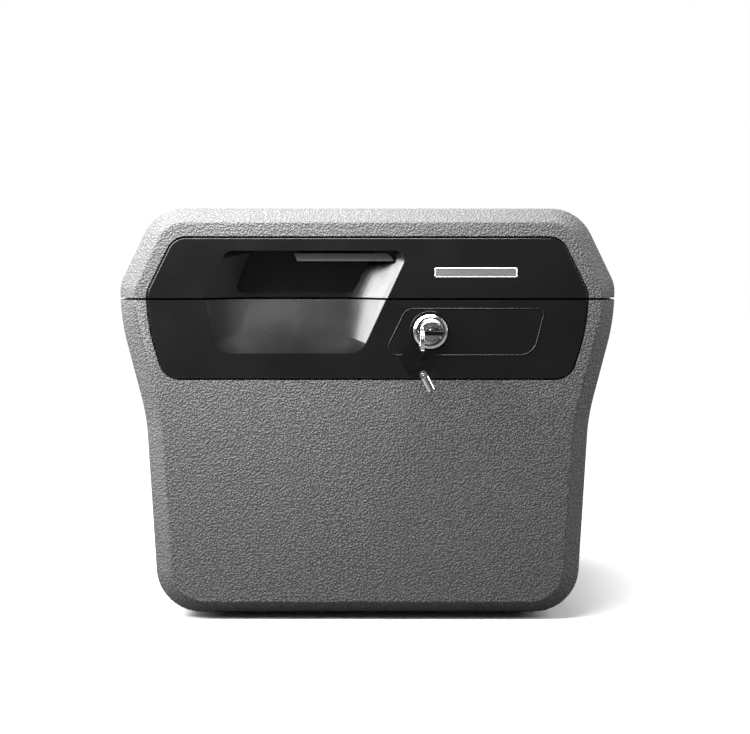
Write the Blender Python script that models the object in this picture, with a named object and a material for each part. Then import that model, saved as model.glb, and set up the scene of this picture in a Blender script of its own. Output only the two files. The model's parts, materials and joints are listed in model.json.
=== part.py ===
"""Fireproof document box: a key-locked chest for hanging letter folders.

X runs across, Y to the back, Z up; the front faces -Y and the origin is on the floor under the
middle. Sizes are in millimetres and become metres where a mesh is made. Heights are measured
from the floor, depths behind the front face (FRONT) or ahead of the back face (BACK).
"""

import math

import bmesh
import bpy
from mathutils import Matrix, Vector

MM = 0.001
GAP = 0.3                    # between pieces that touch
SEAM = 276.5                 # height of the split between body and lid
BODY_TOP, LID_BOTTOM = SEAM - 0.9, SEAM + 0.9
DEPTH, CHAMFER = 344.0, 12.0
WALL, FRONT_WALL = 3.0, 8.0
STEPS = 4                    # segments in a rounded corner

# Right half of the two outlines, bottom to top: x, height, corner radius
OUTER = [(180.8, 5.0, 38.5), (189.9, 175.2, 180.0), (211.0, 258.9, 180.0),
         (211.2, 288.8, 28.0), (179.7, 353.0, 38.0)]
FACE = [(166.8, 15.8, 28.0), (175.8, 173.8, 170.0), (199.0, 265.0, 90.0),
        (199.1, 282.4, 22.0), (170.2, 341.6, 24.0)]
PANEL = [(172.2, 209.1, 17.0), (184.2, 250.0, 150.0), (186.8, 281.5, 25.0), (163.5, 328.1, 16.0)]
PANEL_THICK, PANEL_GAP, LEDGE = 4.2, 1.2, 6.0
FLOOR_TOP, FOOT_HEIGHT = OUTER[0][1] + WALL, OUTER[0][1]

# Key and ring set how far the box reaches forward, the hinges how far back
LOCK_X, LOCK_Z = 53.4, 249.0
BOW_HALF, BOW_LOW, BOW_HIGH, BOW_THICK = 11.2, -14.3, 10.3, 3.0
KEY_TIP, KEY_SHOULDER, KEY_INSIDE = -27.0, -15.0, 7.6
SLOT_V, SLOT_LOW, SLOT_HIGH, SLOT_R = 7.6, -3.6, 6.8, 2.2
STRIP = BOW_HIGH - SLOT_HIGH
RING_IN, RING_OUT, RING_HALF_WIDTH = 8.5, 10.0, 1.7
SPARE_TILT = math.radians(27.0)
RING_AHEAD = (BOW_HIGH - KEY_TIP) - KEY_INSIDE - STRIP / 2
KNUCKLE_R, HINGE_OUT = 3.0, 3.5
FRONT = (RING_AHEAD + RING_OUT - HINGE_OUT - KNUCKLE_R - DEPTH) / 2
BACK = FRONT + DEPTH
HINGE_Y = BACK + HINGE_OUT
RING_Y = FRONT - RING_AHEAD
RING_X = LOCK_X - SLOT_V
RING_Z = LOCK_Z + BOW_THICK / 2 - RING_IN + 0.8
WIRE_Z = RING_Z - (RING_IN + RING_OUT) / 2

# Scoop in the bezels: corners on the face and on its floor
SCOOP_DEPTH, SCOOP_FOOT, SCOOP_HEAD, BOWL_WALL = 19.6, 229.8, 317.5, 2.4
SCOOP_RIGHT_SLOPE, SCOOP_LEFT_SLOPE = 0.4766, -0.2384
POCKET = [(-12.5, 281.4, 5.0), (7.6, 320.3, 2.0), (-98.9, 320.3, 2.0), (-114.0, 281.4, 5.0)]
POCKET_DEPTH, POCKET_WALL = 23.0, 1.5

# Interior: half widths, front and back margins
TUB_TOP, TUB_LOW, TUB_FRONT, TUB_BACK, TUB_FLOOR, TUB_WALL = 160.0, 151.0, 60.0, 32.0, 34.0, 2.6
TONGUE = 4.0
TRAY_OUT, TRAY_TOP = 4.6, 303.0      # lid tray beyond the tub, its ceiling
FLANGE = 2.6
BAY = (-146.0, 95.0, 44.5, 222.0, 326.0)    # mechanism bay: x, x, depth, height, height

# Latch: spans along x, heights, and depths behind the front face
PIVOT_DEPTH, PIVOT_Z = 35.0, 312.5
PIN_R, EAR_THICK, BARREL_R = 1.5, 4.0, 3.4
BARREL, EARS = (-56.0, -6.0), (-61.0, 0.0)
LIP, LIP_LOW, LIP_HIGH, LIP_FRONT, LIP_BACK = (-62.4, 22.5), 308.3, 315.4, 5.0, 8.0
ARM, HOOK_LOW, HOOK_HIGH = (-40.0, -14.0), 262.5, 266.0
SPRING_R, SPRING_WIRE, SPRING_TURNS, SPRING_PITCH = 2.9, 0.4, 4, 1.05

# Keeper and striker plates, their screws as (x, height), and the moulded bosses that take them
PLATE_FRONT, PLATE_BACK = 42.4, 44.2
KEEPER = (-58.0, 10.0, 243.0, 270.0)
STRIKER = (58.0, 85.0, 285.0, 299.0)
STRIKER_LEG, STRIKER_LOW = (67.0, 76.0), 238.5
BOSS_R, SCREW_R, SCREW_HOLE_R = 4.0, 1.5, 1.8
KEEPER_SCREWS = [(-52.0, 250.0), (4.0, 250.0)]
STRIKER_SCREWS = [(63.0, 292.0), (80.0, 292.0)]

# Lock cylinder and cam, file rails, nameplate
LOCK_BODY_R, PLUG_R, FLANGE_R = 11.0, 7.9, 14.6
CAM_FRONT, CAM_BACK, CAM_HALF, CAM_REACH = 34.0, 36.5, 6.0, 23.0
RAIL_X, RAIL_THICK, RAIL_TOP, RAIL_LOW = 155.6, 1.6, 272.0, 259.3
NAMEPLATE = (57.0, 127.0, 294.6, 303.0)

# Hinges and feet
HINGE_X, LEAF_HALF, TAB = 110.0, 23.0, 10.5
LEAF_NEAR, LEAF_FAR, LEAF_HEIGHT, LEAF_CLEAR = 0.3, 1.9, 20.0, 3.6
SCREW_SPREAD, LEAF_HEAD_R = 15.0, 3.2
FOOT_X, FOOT_MARGIN, FOOT_R, SOLE_R, STEM_R = 130.0, 45.0, 12.5, 11.0, 3.0


# --- Helpers -----------------------------------------------------------------------------------

def outline(corners, steps=STEPS):
    """Closed outline through (x, z, radius) corners, each rounded by an arc."""
    points = []
    for i, (x, z, radius) in enumerate(corners):
        here = Vector((x, z))
        if radius == 0:
            points.append(here)
            continue
        before = (Vector(corners[i - 1][:2]) - here).normalized()
        after = (Vector(corners[(i + 1) % len(corners)][:2]) - here).normalized()
        half = before.angle(after) / 2
        centre = here + (before + after).normalized() * (radius / math.sin(half))
        spoke = here + before * (radius / math.tan(half)) - centre
        turn = math.pi - 2 * half
        if before.cross(after) > 0:
            turn = -turn
        for step in range(steps + 1):
            points.append(centre + Matrix.Rotation(turn * step / steps, 2) @ spoke)
    return points


def both_sides(half):
    """Full list of corners from the right half, bottom to top, then the left half."""
    return half + [(-x, z, radius) for x, z, radius in reversed(half)]


def inset(points, distance):
    """Outline moved inwards by a distance, or outwards where it is negative."""
    area = sum(a.cross(b) for a, b in zip(points, points[1:] + points[:1]))
    side = 1 if area > 0 else -1
    moved = []
    for i, here in enumerate(points):
        before = (here - points[i - 1]).normalized()
        after = (points[(i + 1) % len(points)] - here).normalized()
        normal = Vector((-before.y - after.y, before.x + after.x)).normalized() * side
        lean = max(0.5, normal.dot(Vector((-after.y, after.x)) * side))
        moved.append(here + normal * (distance / lean))
    return moved


def upright(points, y):
    """Outline standing at a depth; y is a number or a function of height."""
    return [(p.x, y(p.y) if callable(y) else y, p.y) for p in points]


def level(points, z):
    """Outline lying at a height."""
    return [(p.x, p.y, z) for p in points]


def make_object(name, bm):
    bmesh.ops.recalc_face_normals(bm, faces=bm.faces[:])
    mesh = bpy.data.meshes.new(name)
    bm.to_mesh(mesh)
    bm.free()
    obj = bpy.data.objects.new(name, mesh)
    bpy.context.scene.collection.objects.link(obj)
    return obj


def loft(name, rings, low=None, high=None):
    """Closed solid through rings of equal length, cut off below and above two heights."""
    bm = bmesh.new()
    rows = [[bm.verts.new(Vector(p) * MM) for p in ring] for ring in rings]
    for row, following in zip(rows, rows[1:]):
        for i in range(len(row)):
            j = (i + 1) % len(row)
            bm.faces.new((row[i], row[j], following[j], following[i]))
    bm.faces.new(rows[0])
    bm.faces.new(rows[-1])
    for height, up in ((low, False), (high, True)):
        if height is None:
            continue
        cut_at = bmesh.ops.bisect_plane(
            bm, geom=bm.verts[:] + bm.edges[:] + bm.faces[:], dist=1e-7,
            plane_co=(0, 0, height * MM), plane_no=(0, 0, 1), clear_outer=up, clear_inner=not up)
        edges = [item for item in cut_at["geom_cut"] if isinstance(item, bmesh.types.BMEdge)]
        bmesh.ops.holes_fill(bm, edges=edges, sides=0)
    return make_object(name, bm)


def box(name, x0, x1, y0, y1, z0, z1):
    corners = [Vector(c) for c in ((x0, z0), (x1, z0), (x1, z1), (x0, z1))]
    return loft(name, [upright(corners, y0), upright(corners, y1)])


def rod(name, axis, centre, radius, start, end, sides=24, end_radius=None):
    """Round bar along an axis; centre holds the other two coordinates in X, Y, Z order."""
    rings = []
    for along, r in ((start, radius), (end, radius if end_radius is None else end_radius)):
        ring = []
        for i in range(sides):
            angle = 2 * math.pi * (i + 0.5) / sides
            p = [centre[0] + r * math.cos(angle), centre[1] + r * math.sin(angle)]
            p.insert("XYZ".index(axis), along)
            ring.append(tuple(p))
        rings.append(ring)
    return loft(name, rings)


def boolean(target, operation, tools):
    """Add a Boolean for each tool, and keep the tools out of the model."""
    for tool in tools:
        modifier = target.modifiers.new(tool.name, "BOOLEAN")
        modifier.operation = operation
        modifier.object = tool
        tool.hide_render = True
        tool.display_type = "WIRE"
    return target


def cut(target, *tools):
    return boolean(target, "DIFFERENCE", tools)


def join(target, *tools):
    return boolean(target, "UNION", tools)


def material(name, colour, roughness, metallic=0.0):
    found = bpy.data.materials.get(name)
    if found:
        return found
    made = bpy.data.materials.new(name)
    made.use_nodes = True
    shader = made.node_tree.nodes["Principled BSDF"]
    shader.inputs["Base Color"].default_value = (*colour, 1.0)
    shader.inputs["Roughness"].default_value = roughness
    shader.inputs["Metallic"].default_value = metallic
    return made


FINISHES = {
    "grained_grey": ((0.12, 0.12, 0.12), 0.55, 0.0),
    "satin_black": ((0.02, 0.02, 0.02), 0.4, 0.0),
    "liner_grey": ((0.25, 0.25, 0.25), 0.5, 0.0),
    "cast_insulation": ((0.55, 0.54, 0.5), 0.95, 0.0),
    "chrome": ((0.7, 0.7, 0.7), 0.12, 1.0),
    "zinc_steel": ((0.5, 0.5, 0.5), 0.35, 1.0),
    "black_steel": ((0.03, 0.03, 0.03), 0.45, 1.0),
    "latch_grey": ((0.2, 0.2, 0.2), 0.4, 0.0),
    "key_black": ((0.015, 0.015, 0.015), 0.35, 0.0),
    "plate_silver": ((0.6, 0.6, 0.6), 0.3, 1.0),
    "seal_rubber": ((0.03, 0.03, 0.03), 0.7, 0.0),
}


def finish(obj, finish_name, pivot=None):
    """Give a piece its material, smooth its round sides and hang it on its joint's empty."""
    obj.data.materials.append(material(finish_name, *FINISHES[finish_name]))
    obj.data.shade_smooth()
    obj.data.set_sharp_from_angle(angle=math.radians(30))
    if pivot:
        obj.parent = pivot
        obj.matrix_parent_inverse = pivot.matrix_world.inverted()
    return obj


def pivot_at(name, x, y, z, parent=None):
    empty = bpy.data.objects.new(name, None)
    empty.location = Vector((x, y, z)) * MM
    empty.empty_display_size = 0.02
    bpy.context.scene.collection.objects.link(empty)
    bpy.context.view_layer.update()
    if parent:
        empty.parent = parent
        empty.matrix_parent_inverse = parent.matrix_world.inverted()
        bpy.context.view_layer.update()
    return empty


# --- Solids that several pieces share ----------------------------------------------------------

def chest(name, inward=0.0, front=0.0, back=0.0, low=None, high=None):
    """The chest's outer form, or the hollow in it, between two heights."""
    outer = inset(outline(both_sides(OUTER)), inward)
    face = inset(outline(both_sides(FACE)), inward)
    rings = [upright(face, FRONT + front), upright(outer, FRONT + front + CHAMFER),
             upright(outer, BACK - back - CHAMFER), upright(face, BACK - back)]
    return loft(name, rings, low, high)


def panel(name, inward, front, back, low=None, high=None):
    """The bezels' outline as a plate between two depths."""
    points = inset(outline(both_sides(PANEL)), inward)
    return loft(name, [upright(points, FRONT + front), upright(points, FRONT + back)], low, high)


def plan(half_width, y0, y1, radius):
    """Rounded rectangle seen from above."""
    return outline([(half_width, y0, radius), (half_width, y1, radius),
                    (-half_width, y1, radius), (-half_width, y0, radius)])


def tub(name, out, low, high):
    """The document compartment's form, grown outwards."""
    rings = []
    for z in (low, high):
        lean = (TUB_TOP - TUB_LOW) * (z - TUB_FLOOR) / (BODY_TOP - TUB_FLOOR)
        draft = 2.0 * (1 - (z - TUB_FLOOR) / (BODY_TOP - TUB_FLOOR))
        rings.append(level(plan(TUB_LOW + lean + out, FRONT + TUB_FRONT + draft - out,
                                BACK - TUB_BACK - draft + out, 14.0 + out), z))
    return loft(name, rings)


def tray(name, out, low, high):
    """The hollow in the lid, grown outwards."""
    rings = []
    for z in (low, high):
        draft = 2.0 * (z - LID_BOTTOM) / (TRAY_TOP - LID_BOTTOM)
        grow = TRAY_OUT - draft + out
        rings.append(level(plan(TUB_TOP + grow, FRONT + TUB_FRONT - grow,
                                BACK - TUB_BACK + grow, 14.0 + grow), z))
    return loft(name, rings)


def bay(name):
    """The deep hollow behind the bezels that holds the scoop, latch and lock."""
    x0, x1, back, low, high = BAY
    return box(name, x0, x1, FRONT - 1, FRONT + back, low, high)


def rim_slots(name, low, high):
    """Openings in the liners' flanges for the scoop's bowl, the latch hook and the striker."""
    slots = box(name, BAY[0] + 4, 22.5, FRONT - 1, FRONT + POCKET_DEPTH + 3.5, low, high)
    return join(slots, box(name + "_hook", ARM[0] - 3, ARM[1] + 3, FRONT + 20, FRONT + 43.6, low, high),
                box(name + "_striker", STRIKER_LEG[0] - 3, STRIKER_LEG[1] + 3, FRONT + 29.0,
                    FRONT + 46.5, low, high),
                box(name + "_lock", 30.0, BAY[1] - 8, FRONT - 1, FRONT + FRONT_WALL + 5.5, low, high))


def scoop_rings(low_half, grow, start):
    """Rings from the scoop's rim to its floor, for its lower or its upper half."""
    if low_half:
        top = SEAM + 2
        rise = top - SCOOP_FOOT
        rim = [(-128.9 + SCOOP_LEFT_SLOPE * rise, top, 0), (-128.9, SCOOP_FOOT, 16),
               (-5.1, SCOOP_FOOT, 17), (-5.1 + SCOOP_RIGHT_SLOPE * rise, top, 0)]
        ground = [(-112.2, top, 0), (-117.0, 233.0, 12), (-15.0, 233.0, 12), (-11.2, top, 0)]
    else:
        foot = SEAM - 2
        rim = [(-5.1 + SCOOP_RIGHT_SLOPE * (foot - SCOOP_FOOT), foot, 0), (36.7, SCOOP_HEAD, 8),
               (-121.3, SCOOP_HEAD, 12), (-141.5, foot, 0)]
        ground = [(-12.0, foot, 0), (7.0, 316.0, 4), (-99.0, 316.0, 4), (-112.5, foot, 0)]

    def floor_at(z):
        if not low_half:
            return FRONT + SCOOP_DEPTH + grow
        return FRONT + SCOOP_DEPTH * (z - SCOOP_FOOT) / (SEAM - SCOOP_FOOT) + grow

    rim_points, ground_points = inset(outline(rim), -grow), inset(outline(ground), -grow)
    rings = [upright(rim_points, FRONT + start), upright(ground_points, floor_at)]
    if grow == 0:
        rings.insert(1, upright(rim_points, FRONT))
    return rings


# --- Casings, insulation and liners ------------------------------------------------------------

def make_shell(name, low, high, pivot=None):
    shell = chest(name, low=low, high=high)
    cut(shell,
        chest(name + "_hollow", WALL, FRONT_WALL, WALL),
        panel(name + "_recess", -PANEL_GAP, -1.0, PANEL_THICK + GAP),
        panel(name + "_window", LEDGE, -1.0, FRONT_WALL + 2.0))
    return finish(shell, "grained_grey", pivot)


def make_body_insulation():
    block = chest("body_insulation", WALL + GAP, FRONT_WALL + GAP, WALL + GAP,
                  high=BODY_TOP - FLANGE - GAP)
    cut(block,
        tub("insulation_tub", TUB_WALL + GAP, TUB_FLOOR - TUB_WALL - GAP, BODY_TOP + 5),
        panel("insulation_window", 2.0, FRONT_WALL - 2.0, 13.0),
        bay("insulation_bay"))
    for i, (x, z) in enumerate(KEEPER_SCREWS):
        cut(block, rod(f"insulation_boss_{i}", "Y", (x, z), BOSS_R + GAP, FRONT + 40, FRONT + 60, 16))
    finish(block, "cast_insulation")


def make_lid_insulation(lid):
    block = chest("lid_insulation", WALL + GAP, FRONT_WALL + GAP, WALL + GAP,
                  low=LID_BOTTOM + FLANGE + GAP)
    cut(block,
        tray("insulation_tray", TUB_WALL + GAP, LID_BOTTOM - 2, TRAY_TOP + TUB_WALL + GAP),
        panel("lid_insulation_window", 2.0, FRONT_WALL - 2.0, 13.0),
        bay("lid_insulation_bay"))
    for i, (x, z) in enumerate(STRIKER_SCREWS):
        cut(block, rod(f"lid_boss_{i}", "Y", (x, z), BOSS_R + GAP, FRONT + 40, FRONT + 56, 16))
    finish(block, "cast_insulation", lid)


def make_body_liner():
    liner = chest("body_liner", WALL + GAP, FRONT_WALL + GAP, WALL + GAP,
                  low=BODY_TOP - FLANGE, high=BODY_TOP)
    join(liner, tub("liner_outside", TUB_WALL, TUB_FLOOR - TUB_WALL, BODY_TOP + TONGUE))
    for i, (x, z) in enumerate(KEEPER_SCREWS):
        join(liner, rod(f"liner_boss_{i}", "Y", (x, z), BOSS_R, FRONT + BAY[2] + GAP, FRONT + 59, 16))
        cut(liner, rod(f"liner_boss_hole_{i}", "Y", (x, z), SCREW_HOLE_R, FRONT + 40, FRONT + 56, 12))
    cut(liner, tub("liner_inside", 0.0, TUB_FLOOR, BODY_TOP + TONGUE + 2),
        rim_slots("rim_slots", BODY_TOP - 8, BODY_TOP + 2))
    for side in (-1, 1):
        for end in (FRONT + TUB_FRONT + 40, BACK - TUB_BACK - 40):
            tag = f"{side}_{end > 0}"
            x0, x1 = sorted((side * (RAIL_X - 1.6), side * (TUB_TOP + 1.2)))
            join(liner, box("ledge_" + tag, x0, x1, end - 12, end + 12, 254.0, 262.5))
            x0, x1 = sorted((side * (RAIL_X - GAP), side * (RAIL_X + RAIL_THICK + GAP)))
            cut(liner, box("ledge_slot_" + tag, x0, x1, end - 20, end + 20, RAIL_LOW - GAP, 265))
    finish(liner, "liner_grey")


def make_file_rails():
    for side, word in ((-1, "left"), (1, "right")):
        x0, x1 = sorted((side * RAIL_X, side * (RAIL_X + RAIL_THICK)))
        rail = box(f"file_rail_{word}", x0, x1, FRONT + TUB_FRONT + 14, BACK - TUB_BACK - 14,
                   RAIL_LOW, RAIL_TOP)
        finish(rail, "zinc_steel")


def make_lid_liner(lid):
    liner = chest("lid_liner", WALL + GAP, FRONT_WALL + GAP, WALL + GAP,
                  low=LID_BOTTOM, high=LID_BOTTOM + FLANGE)
    join(liner, tray("tray_outside", TUB_WALL, LID_BOTTOM + 0.4, TRAY_TOP + TUB_WALL))
    for i, (x, z) in enumerate(STRIKER_SCREWS):
        join(liner, rod(f"tray_boss_{i}", "Y", (x, z), BOSS_R, FRONT + BAY[2] + GAP, FRONT + 55, 16))
        cut(liner, rod(f"tray_boss_hole_{i}", "Y", (x, z), SCREW_HOLE_R, FRONT + 40, FRONT + 53, 12))
    cut(liner, tray("tray_inside", 0.0, LID_BOTTOM - 2, TRAY_TOP),
        rim_slots("tray_slots", LID_BOTTOM - 2, LID_BOTTOM + 8),
        seal_ring("seal_groove", GAP, LID_BOTTOM - 1, LID_BOTTOM + 1.5))
    finish(liner, "liner_grey", lid)


def seal_ring(name, slack, low, high):
    """Ring round the lid's opening, as wide as the gasket plus some slack."""
    middle, half = TRAY_OUT + 5.5, 2.5 + slack
    solids = []
    for tag, grow, more in (("", middle + half, 0), ("_bore", middle - half, 1)):
        points = plan(TUB_TOP + grow, FRONT + TUB_FRONT - grow, BACK - TUB_BACK + grow, 14 + grow)
        solids.append(loft(name + tag, [level(points, low - more), level(points, high + more)]))
    return cut(*solids)


def make_gasket(lid):
    finish(seal_ring("gasket", 0.0, BODY_TOP + 0.4, LID_BOTTOM + 1.2), "seal_rubber", lid)


# --- Bezels ------------------------------------------------------------------------------------

def snap_lug(name, x, z, up):
    """Moulded hook that catches behind the shell's ledge."""
    z0, z1 = (z - 2.1, z) if up else (z, z + 2.1)
    barb = (z - 1, z + 2.4) if up else (z - 2.4, z + 1)
    stem = box(name, x - 5, x + 5, FRONT + 3, FRONT + 11, z0, z1)
    return join(stem, box(name + "_barb", x - 5, x + 5, FRONT + FRONT_WALL + GAP + 0.1, FRONT + 11.4,
                          *barb))


def make_lower_bezel():
    bezel = panel("lower_bezel", 0.0, 0.0, PANEL_THICK, high=BODY_TOP)
    join(bezel, loft("lower_bowl", scoop_rings(True, BOWL_WALL, 3.0), high=BODY_TOP),
         rod("lock_boss", "Y", (LOCK_X, LOCK_Z), 16.0, FRONT + 3, FRONT + FRONT_WALL, 32))
    for i, x in enumerate((-120.0, 0.0, 120.0)):
        join(bezel, snap_lug(f"lower_lug_{i}", x, PANEL[0][1] + LEDGE + 0.5, False))
    cut(bezel, loft("lower_scoop", scoop_rings(True, 0.0, -2.0)),
        rod("lock_hole", "Y", (LOCK_X, LOCK_Z), LOCK_BODY_R + GAP, FRONT - 1, FRONT + 20, 32))
    finish(bezel, "satin_black")


def make_upper_bezel(lid):
    bezel = panel("upper_bezel", 0.0, 0.0, PANEL_THICK, low=LID_BOTTOM)
    pocket = outline(POCKET)
    pocket_outside = inset(pocket, -POCKET_WALL)
    join(bezel, loft("upper_bowl", scoop_rings(False, BOWL_WALL, 3.0), low=LID_BOTTOM),
         loft("pocket_outside", [upright(pocket_outside, FRONT + 3.5),
                                 upright(pocket_outside, FRONT + POCKET_DEPTH + POCKET_WALL)]))
    for i, x in enumerate((-135.0, 60.0, 130.0)):
        join(bezel, snap_lug(f"upper_lug_{i}", x, PANEL[3][1] - LEDGE - 0.5, True))
    for i, x in enumerate(EARS):
        join(bezel, box(f"ear_{i}", x, x + EAR_THICK, FRONT + POCKET_DEPTH + 0.6,
                        FRONT + PIVOT_DEPTH + 5, PIVOT_Z - 5, PIVOT_Z + 5))
    cut(bezel,
        loft("upper_scoop", scoop_rings(False, 0.0, -2.0)),
        loft("pocket_inside", [upright(pocket, FRONT + PANEL_THICK + 0.6),
                               upright(pocket, FRONT + POCKET_DEPTH)]),
        box("lip_channel", LIP[0] - 3, LIP[1] + 3, FRONT + PANEL_THICK, FRONT + LIP_BACK + 1.8,
            LIP_LOW - 1.8, POCKET[1][1]),
        box("lever_slot", BARREL[0] - 1.5, BARREL[1] + 1.5, FRONT + POCKET_DEPTH - 3,
            FRONT + POCKET_DEPTH + 4, PIVOT_Z - 5.5, POCKET[1][1] - 1.0),
        rod("pin_hole", "X", (FRONT + PIVOT_DEPTH, PIVOT_Z), PIN_R + 0.2, -70, 10, 16),
        box("plate_recess", NAMEPLATE[0] - GAP, NAMEPLATE[1] + GAP, FRONT - 1, FRONT + 0.6,
            NAMEPLATE[2] - GAP, NAMEPLATE[3] + GAP))
    finish(bezel, "satin_black", lid)


def make_nameplate(lid):
    x0, x1, z0, z1 = NAMEPLATE
    finish(box("nameplate", x0, x1, FRONT - 0.5, FRONT + 0.3, z0, z1), "plate_silver", lid)


# --- Latch -------------------------------------------------------------------------------------

def make_latch_lever(latch):
    slant = [Vector(c) for c in ((LIP[0] + 3, LIP_LOW), (LIP[1], LIP_LOW), (LIP[1] - 1.5, 312.0),
                                 (LIP[1] - 5.5, LIP_HIGH), (LIP[0], LIP_HIGH))]
    lever = loft("latch_lever", [upright(slant, FRONT + LIP_FRONT), upright(slant, FRONT + LIP_BACK)])
    join(lever,
         box("lever_plate", BARREL[0] + 2, BARREL[1] - 2, FRONT + LIP_BACK - 1, FRONT + PIVOT_DEPTH,
             311.4, 314.0),
         rod("lever_barrel", "X", (FRONT + PIVOT_DEPTH, PIVOT_Z), BARREL_R, *BARREL, 20),
         box("lever_arm", *ARM, FRONT + 33.2, FRONT + 36.4, HOOK_LOW, 311.0),
         box("lever_hook", ARM[0] + 1, ARM[1] - 1, FRONT + 34.8, FRONT + 42.0, HOOK_LOW + 0.5,
             HOOK_HIGH))
    cut(lever, rod("barrel_bore", "X", (FRONT + PIVOT_DEPTH, PIVOT_Z), PIN_R + 0.2, -60, 0, 16))
    finish(lever, "latch_grey", latch)


def make_latch_pin(lid):
    centre = (FRONT + PIVOT_DEPTH, PIVOT_Z)
    pin = rod("latch_pin", "X", centre, PIN_R, EARS[0] - 2.0, EARS[1] + EAR_THICK + 1.5, 16)
    join(pin, rod("latch_pin_head", "X", centre, 2.6, EARS[0] - 2.5, EARS[0] - 0.5, 16))
    finish(pin, "zinc_steel", lid)


def make_latch_spring(lid):
    """Torsion spring round the pin, with a short leg at each end."""
    mean, per_turn = SPRING_R, 12
    start = BARREL[1] + 0.9
    y, z = FRONT + PIVOT_DEPTH, PIVOT_Z
    path = [Vector((start, y - 7.0, z - mean))]
    for i in range(SPRING_TURNS * per_turn + 1):
        angle = -math.pi / 2 + 2 * math.pi * i / per_turn
        path.append(Vector((start + SPRING_PITCH * i / per_turn, y + mean * math.cos(angle),
                            z + mean * math.sin(angle))))
    path.append(path[-1] + Vector((0, 6.0, 0)))
    curve = bpy.data.curves.new("latch_spring", "CURVE")
    curve.dimensions = "3D"
    spline = curve.splines.new("POLY")
    spline.points.add(len(path) - 1)
    for place, p in zip(spline.points, path):
        place.co = (*(p * MM), 1.0)
    curve.bevel_depth = SPRING_WIRE * MM
    curve.bevel_resolution = 1
    curve.use_fill_caps = True
    spring = bpy.data.objects.new("latch_spring", curve)
    bpy.context.scene.collection.objects.link(spring)
    curve.materials.append(material("zinc_steel", *FINISHES["zinc_steel"]))
    spring.parent = lid
    spring.matrix_parent_inverse = lid.matrix_world.inverted()


def plate_with_screws(name, solid, screws, pivot=None):
    """Drill a steel plate, and make the screws that hold it."""
    for i, (x, z) in enumerate(screws):
        cut(solid, rod(f"{name}_hole_{i}", "Y", (x, z), SCREW_HOLE_R, FRONT + 30, FRONT + 50, 12))
        word = ("left", "right")[i]
        screw = rod(f"{name}_screw_{word}", "Y", (x, z), SCREW_R, FRONT + PLATE_FRONT - 1,
                    FRONT + PLATE_BACK + 8, 12)
        join(screw, rod(f"{name}_head_{i}", "Y", (x, z), 2.9, FRONT + PLATE_FRONT - 1.9,
                        FRONT + PLATE_FRONT - GAP, 16))
        finish(screw, "zinc_steel", pivot)


def make_keeper():
    x0, x1, z0, z1 = KEEPER
    keeper = box("latch_keeper", x0, x1, FRONT + PLATE_FRONT, FRONT + PLATE_BACK, z0, z1)
    join(keeper, box("keeper_lip", ARM[0] - 4, ARM[1] + 4, FRONT + 38.8, FRONT + PLATE_BACK - 0.01,
                     z1 - 1.8, z1 - 0.01))
    plate_with_screws("keeper", keeper, KEEPER_SCREWS)
    finish(keeper, "zinc_steel")


# --- Lock, keys and ring -----------------------------------------------------------------------

def lock_rod(name, radius, start, end, sides=32, end_radius=None):
    return rod(name, "Y", (LOCK_X, LOCK_Z), radius, FRONT + start, FRONT + end, sides, end_radius)


def make_lock():
    housing = lock_rod("lock_housing", LOCK_BODY_R, -1.0, 33.0)
    join(housing, lock_rod("lock_flange", FLANGE_R, -2.0, -GAP),
         lock_rod("lock_flange_dome", FLANGE_R - 2.2, -3.2, -1.9, 32, FLANGE_R))
    cut(housing, lock_rod("lock_bore", PLUG_R + GAP, -5.0, 35.0))
    finish(housing, "chrome")
    nut = lock_rod("lock_nut", 15.0, FRONT_WALL + GAP, FRONT_WALL + GAP + 4.0, 6)
    finish(cut(nut, lock_rod("nut_bore", LOCK_BODY_R + GAP, 5, 20)), "zinc_steel")


def make_plug(plug):
    turning = lock_rod("lock_plug", PLUG_R, -0.6, 33.7)
    join(turning, lock_rod("plug_tail", 4.0, 33.0, CAM_BACK + 0.2, 16))
    keyway = lock_rod("keyway", 4.1, -2.0, KEY_INSIDE + 1.0)
    cut(turning, cut(keyway, lock_rod("keyway_post", 2.3, -4.0, KEY_INSIDE + 3.0, 16)),
        lock_rod("tail_hole", 1.9, 26.0, 40.0, 12))
    finish(turning, "chrome", plug)
    blade = [Vector((LOCK_X + x, LOCK_Z + z)) for x, z in (
        (-CAM_HALF, -7), (CAM_HALF, -7), (CAM_HALF, CAM_REACH - 3), (CAM_HALF / 2, CAM_REACH),
        (-CAM_HALF / 2, CAM_REACH), (-CAM_HALF, CAM_REACH - 3))]
    cam = loft("lock_cam", [upright(blade, FRONT + CAM_FRONT), upright(blade, FRONT + CAM_BACK)])
    finish(cut(cam, lock_rod("cam_hole", 4.3, 30, 40, 16)), "zinc_steel", plug)
    screw = lock_rod("cam_screw", 1.6, 28.0, CAM_BACK + 1.5, 12)
    join(screw, lock_rod("cam_screw_head", 5.4, CAM_BACK + 0.5, CAM_BACK + 2.7, 16))
    finish(screw, "zinc_steel", plug)


def make_striker(lid):
    x0, x1, z0, z1 = STRIKER
    plate = box("lid_striker", x0, x1, FRONT + PLATE_FRONT, FRONT + PLATE_BACK, z0, z1)
    leg0, leg1 = STRIKER_LEG
    join(plate, box("striker_leg", leg0, leg1, FRONT + PLATE_FRONT + 0.01,
                    FRONT + PLATE_BACK - 0.01, STRIKER_LOW, z0 + 5),
         box("striker_foot", leg0 + 0.5, leg1 - 0.5, FRONT + CAM_FRONT - 1.5,
             FRONT + PLATE_BACK - 0.02, STRIKER_LOW + 0.5, STRIKER_LOW + 2.8))
    plate_with_screws("striker", plate, STRIKER_SCREWS, lid)
    finish(plate, "zinc_steel", lid)


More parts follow.
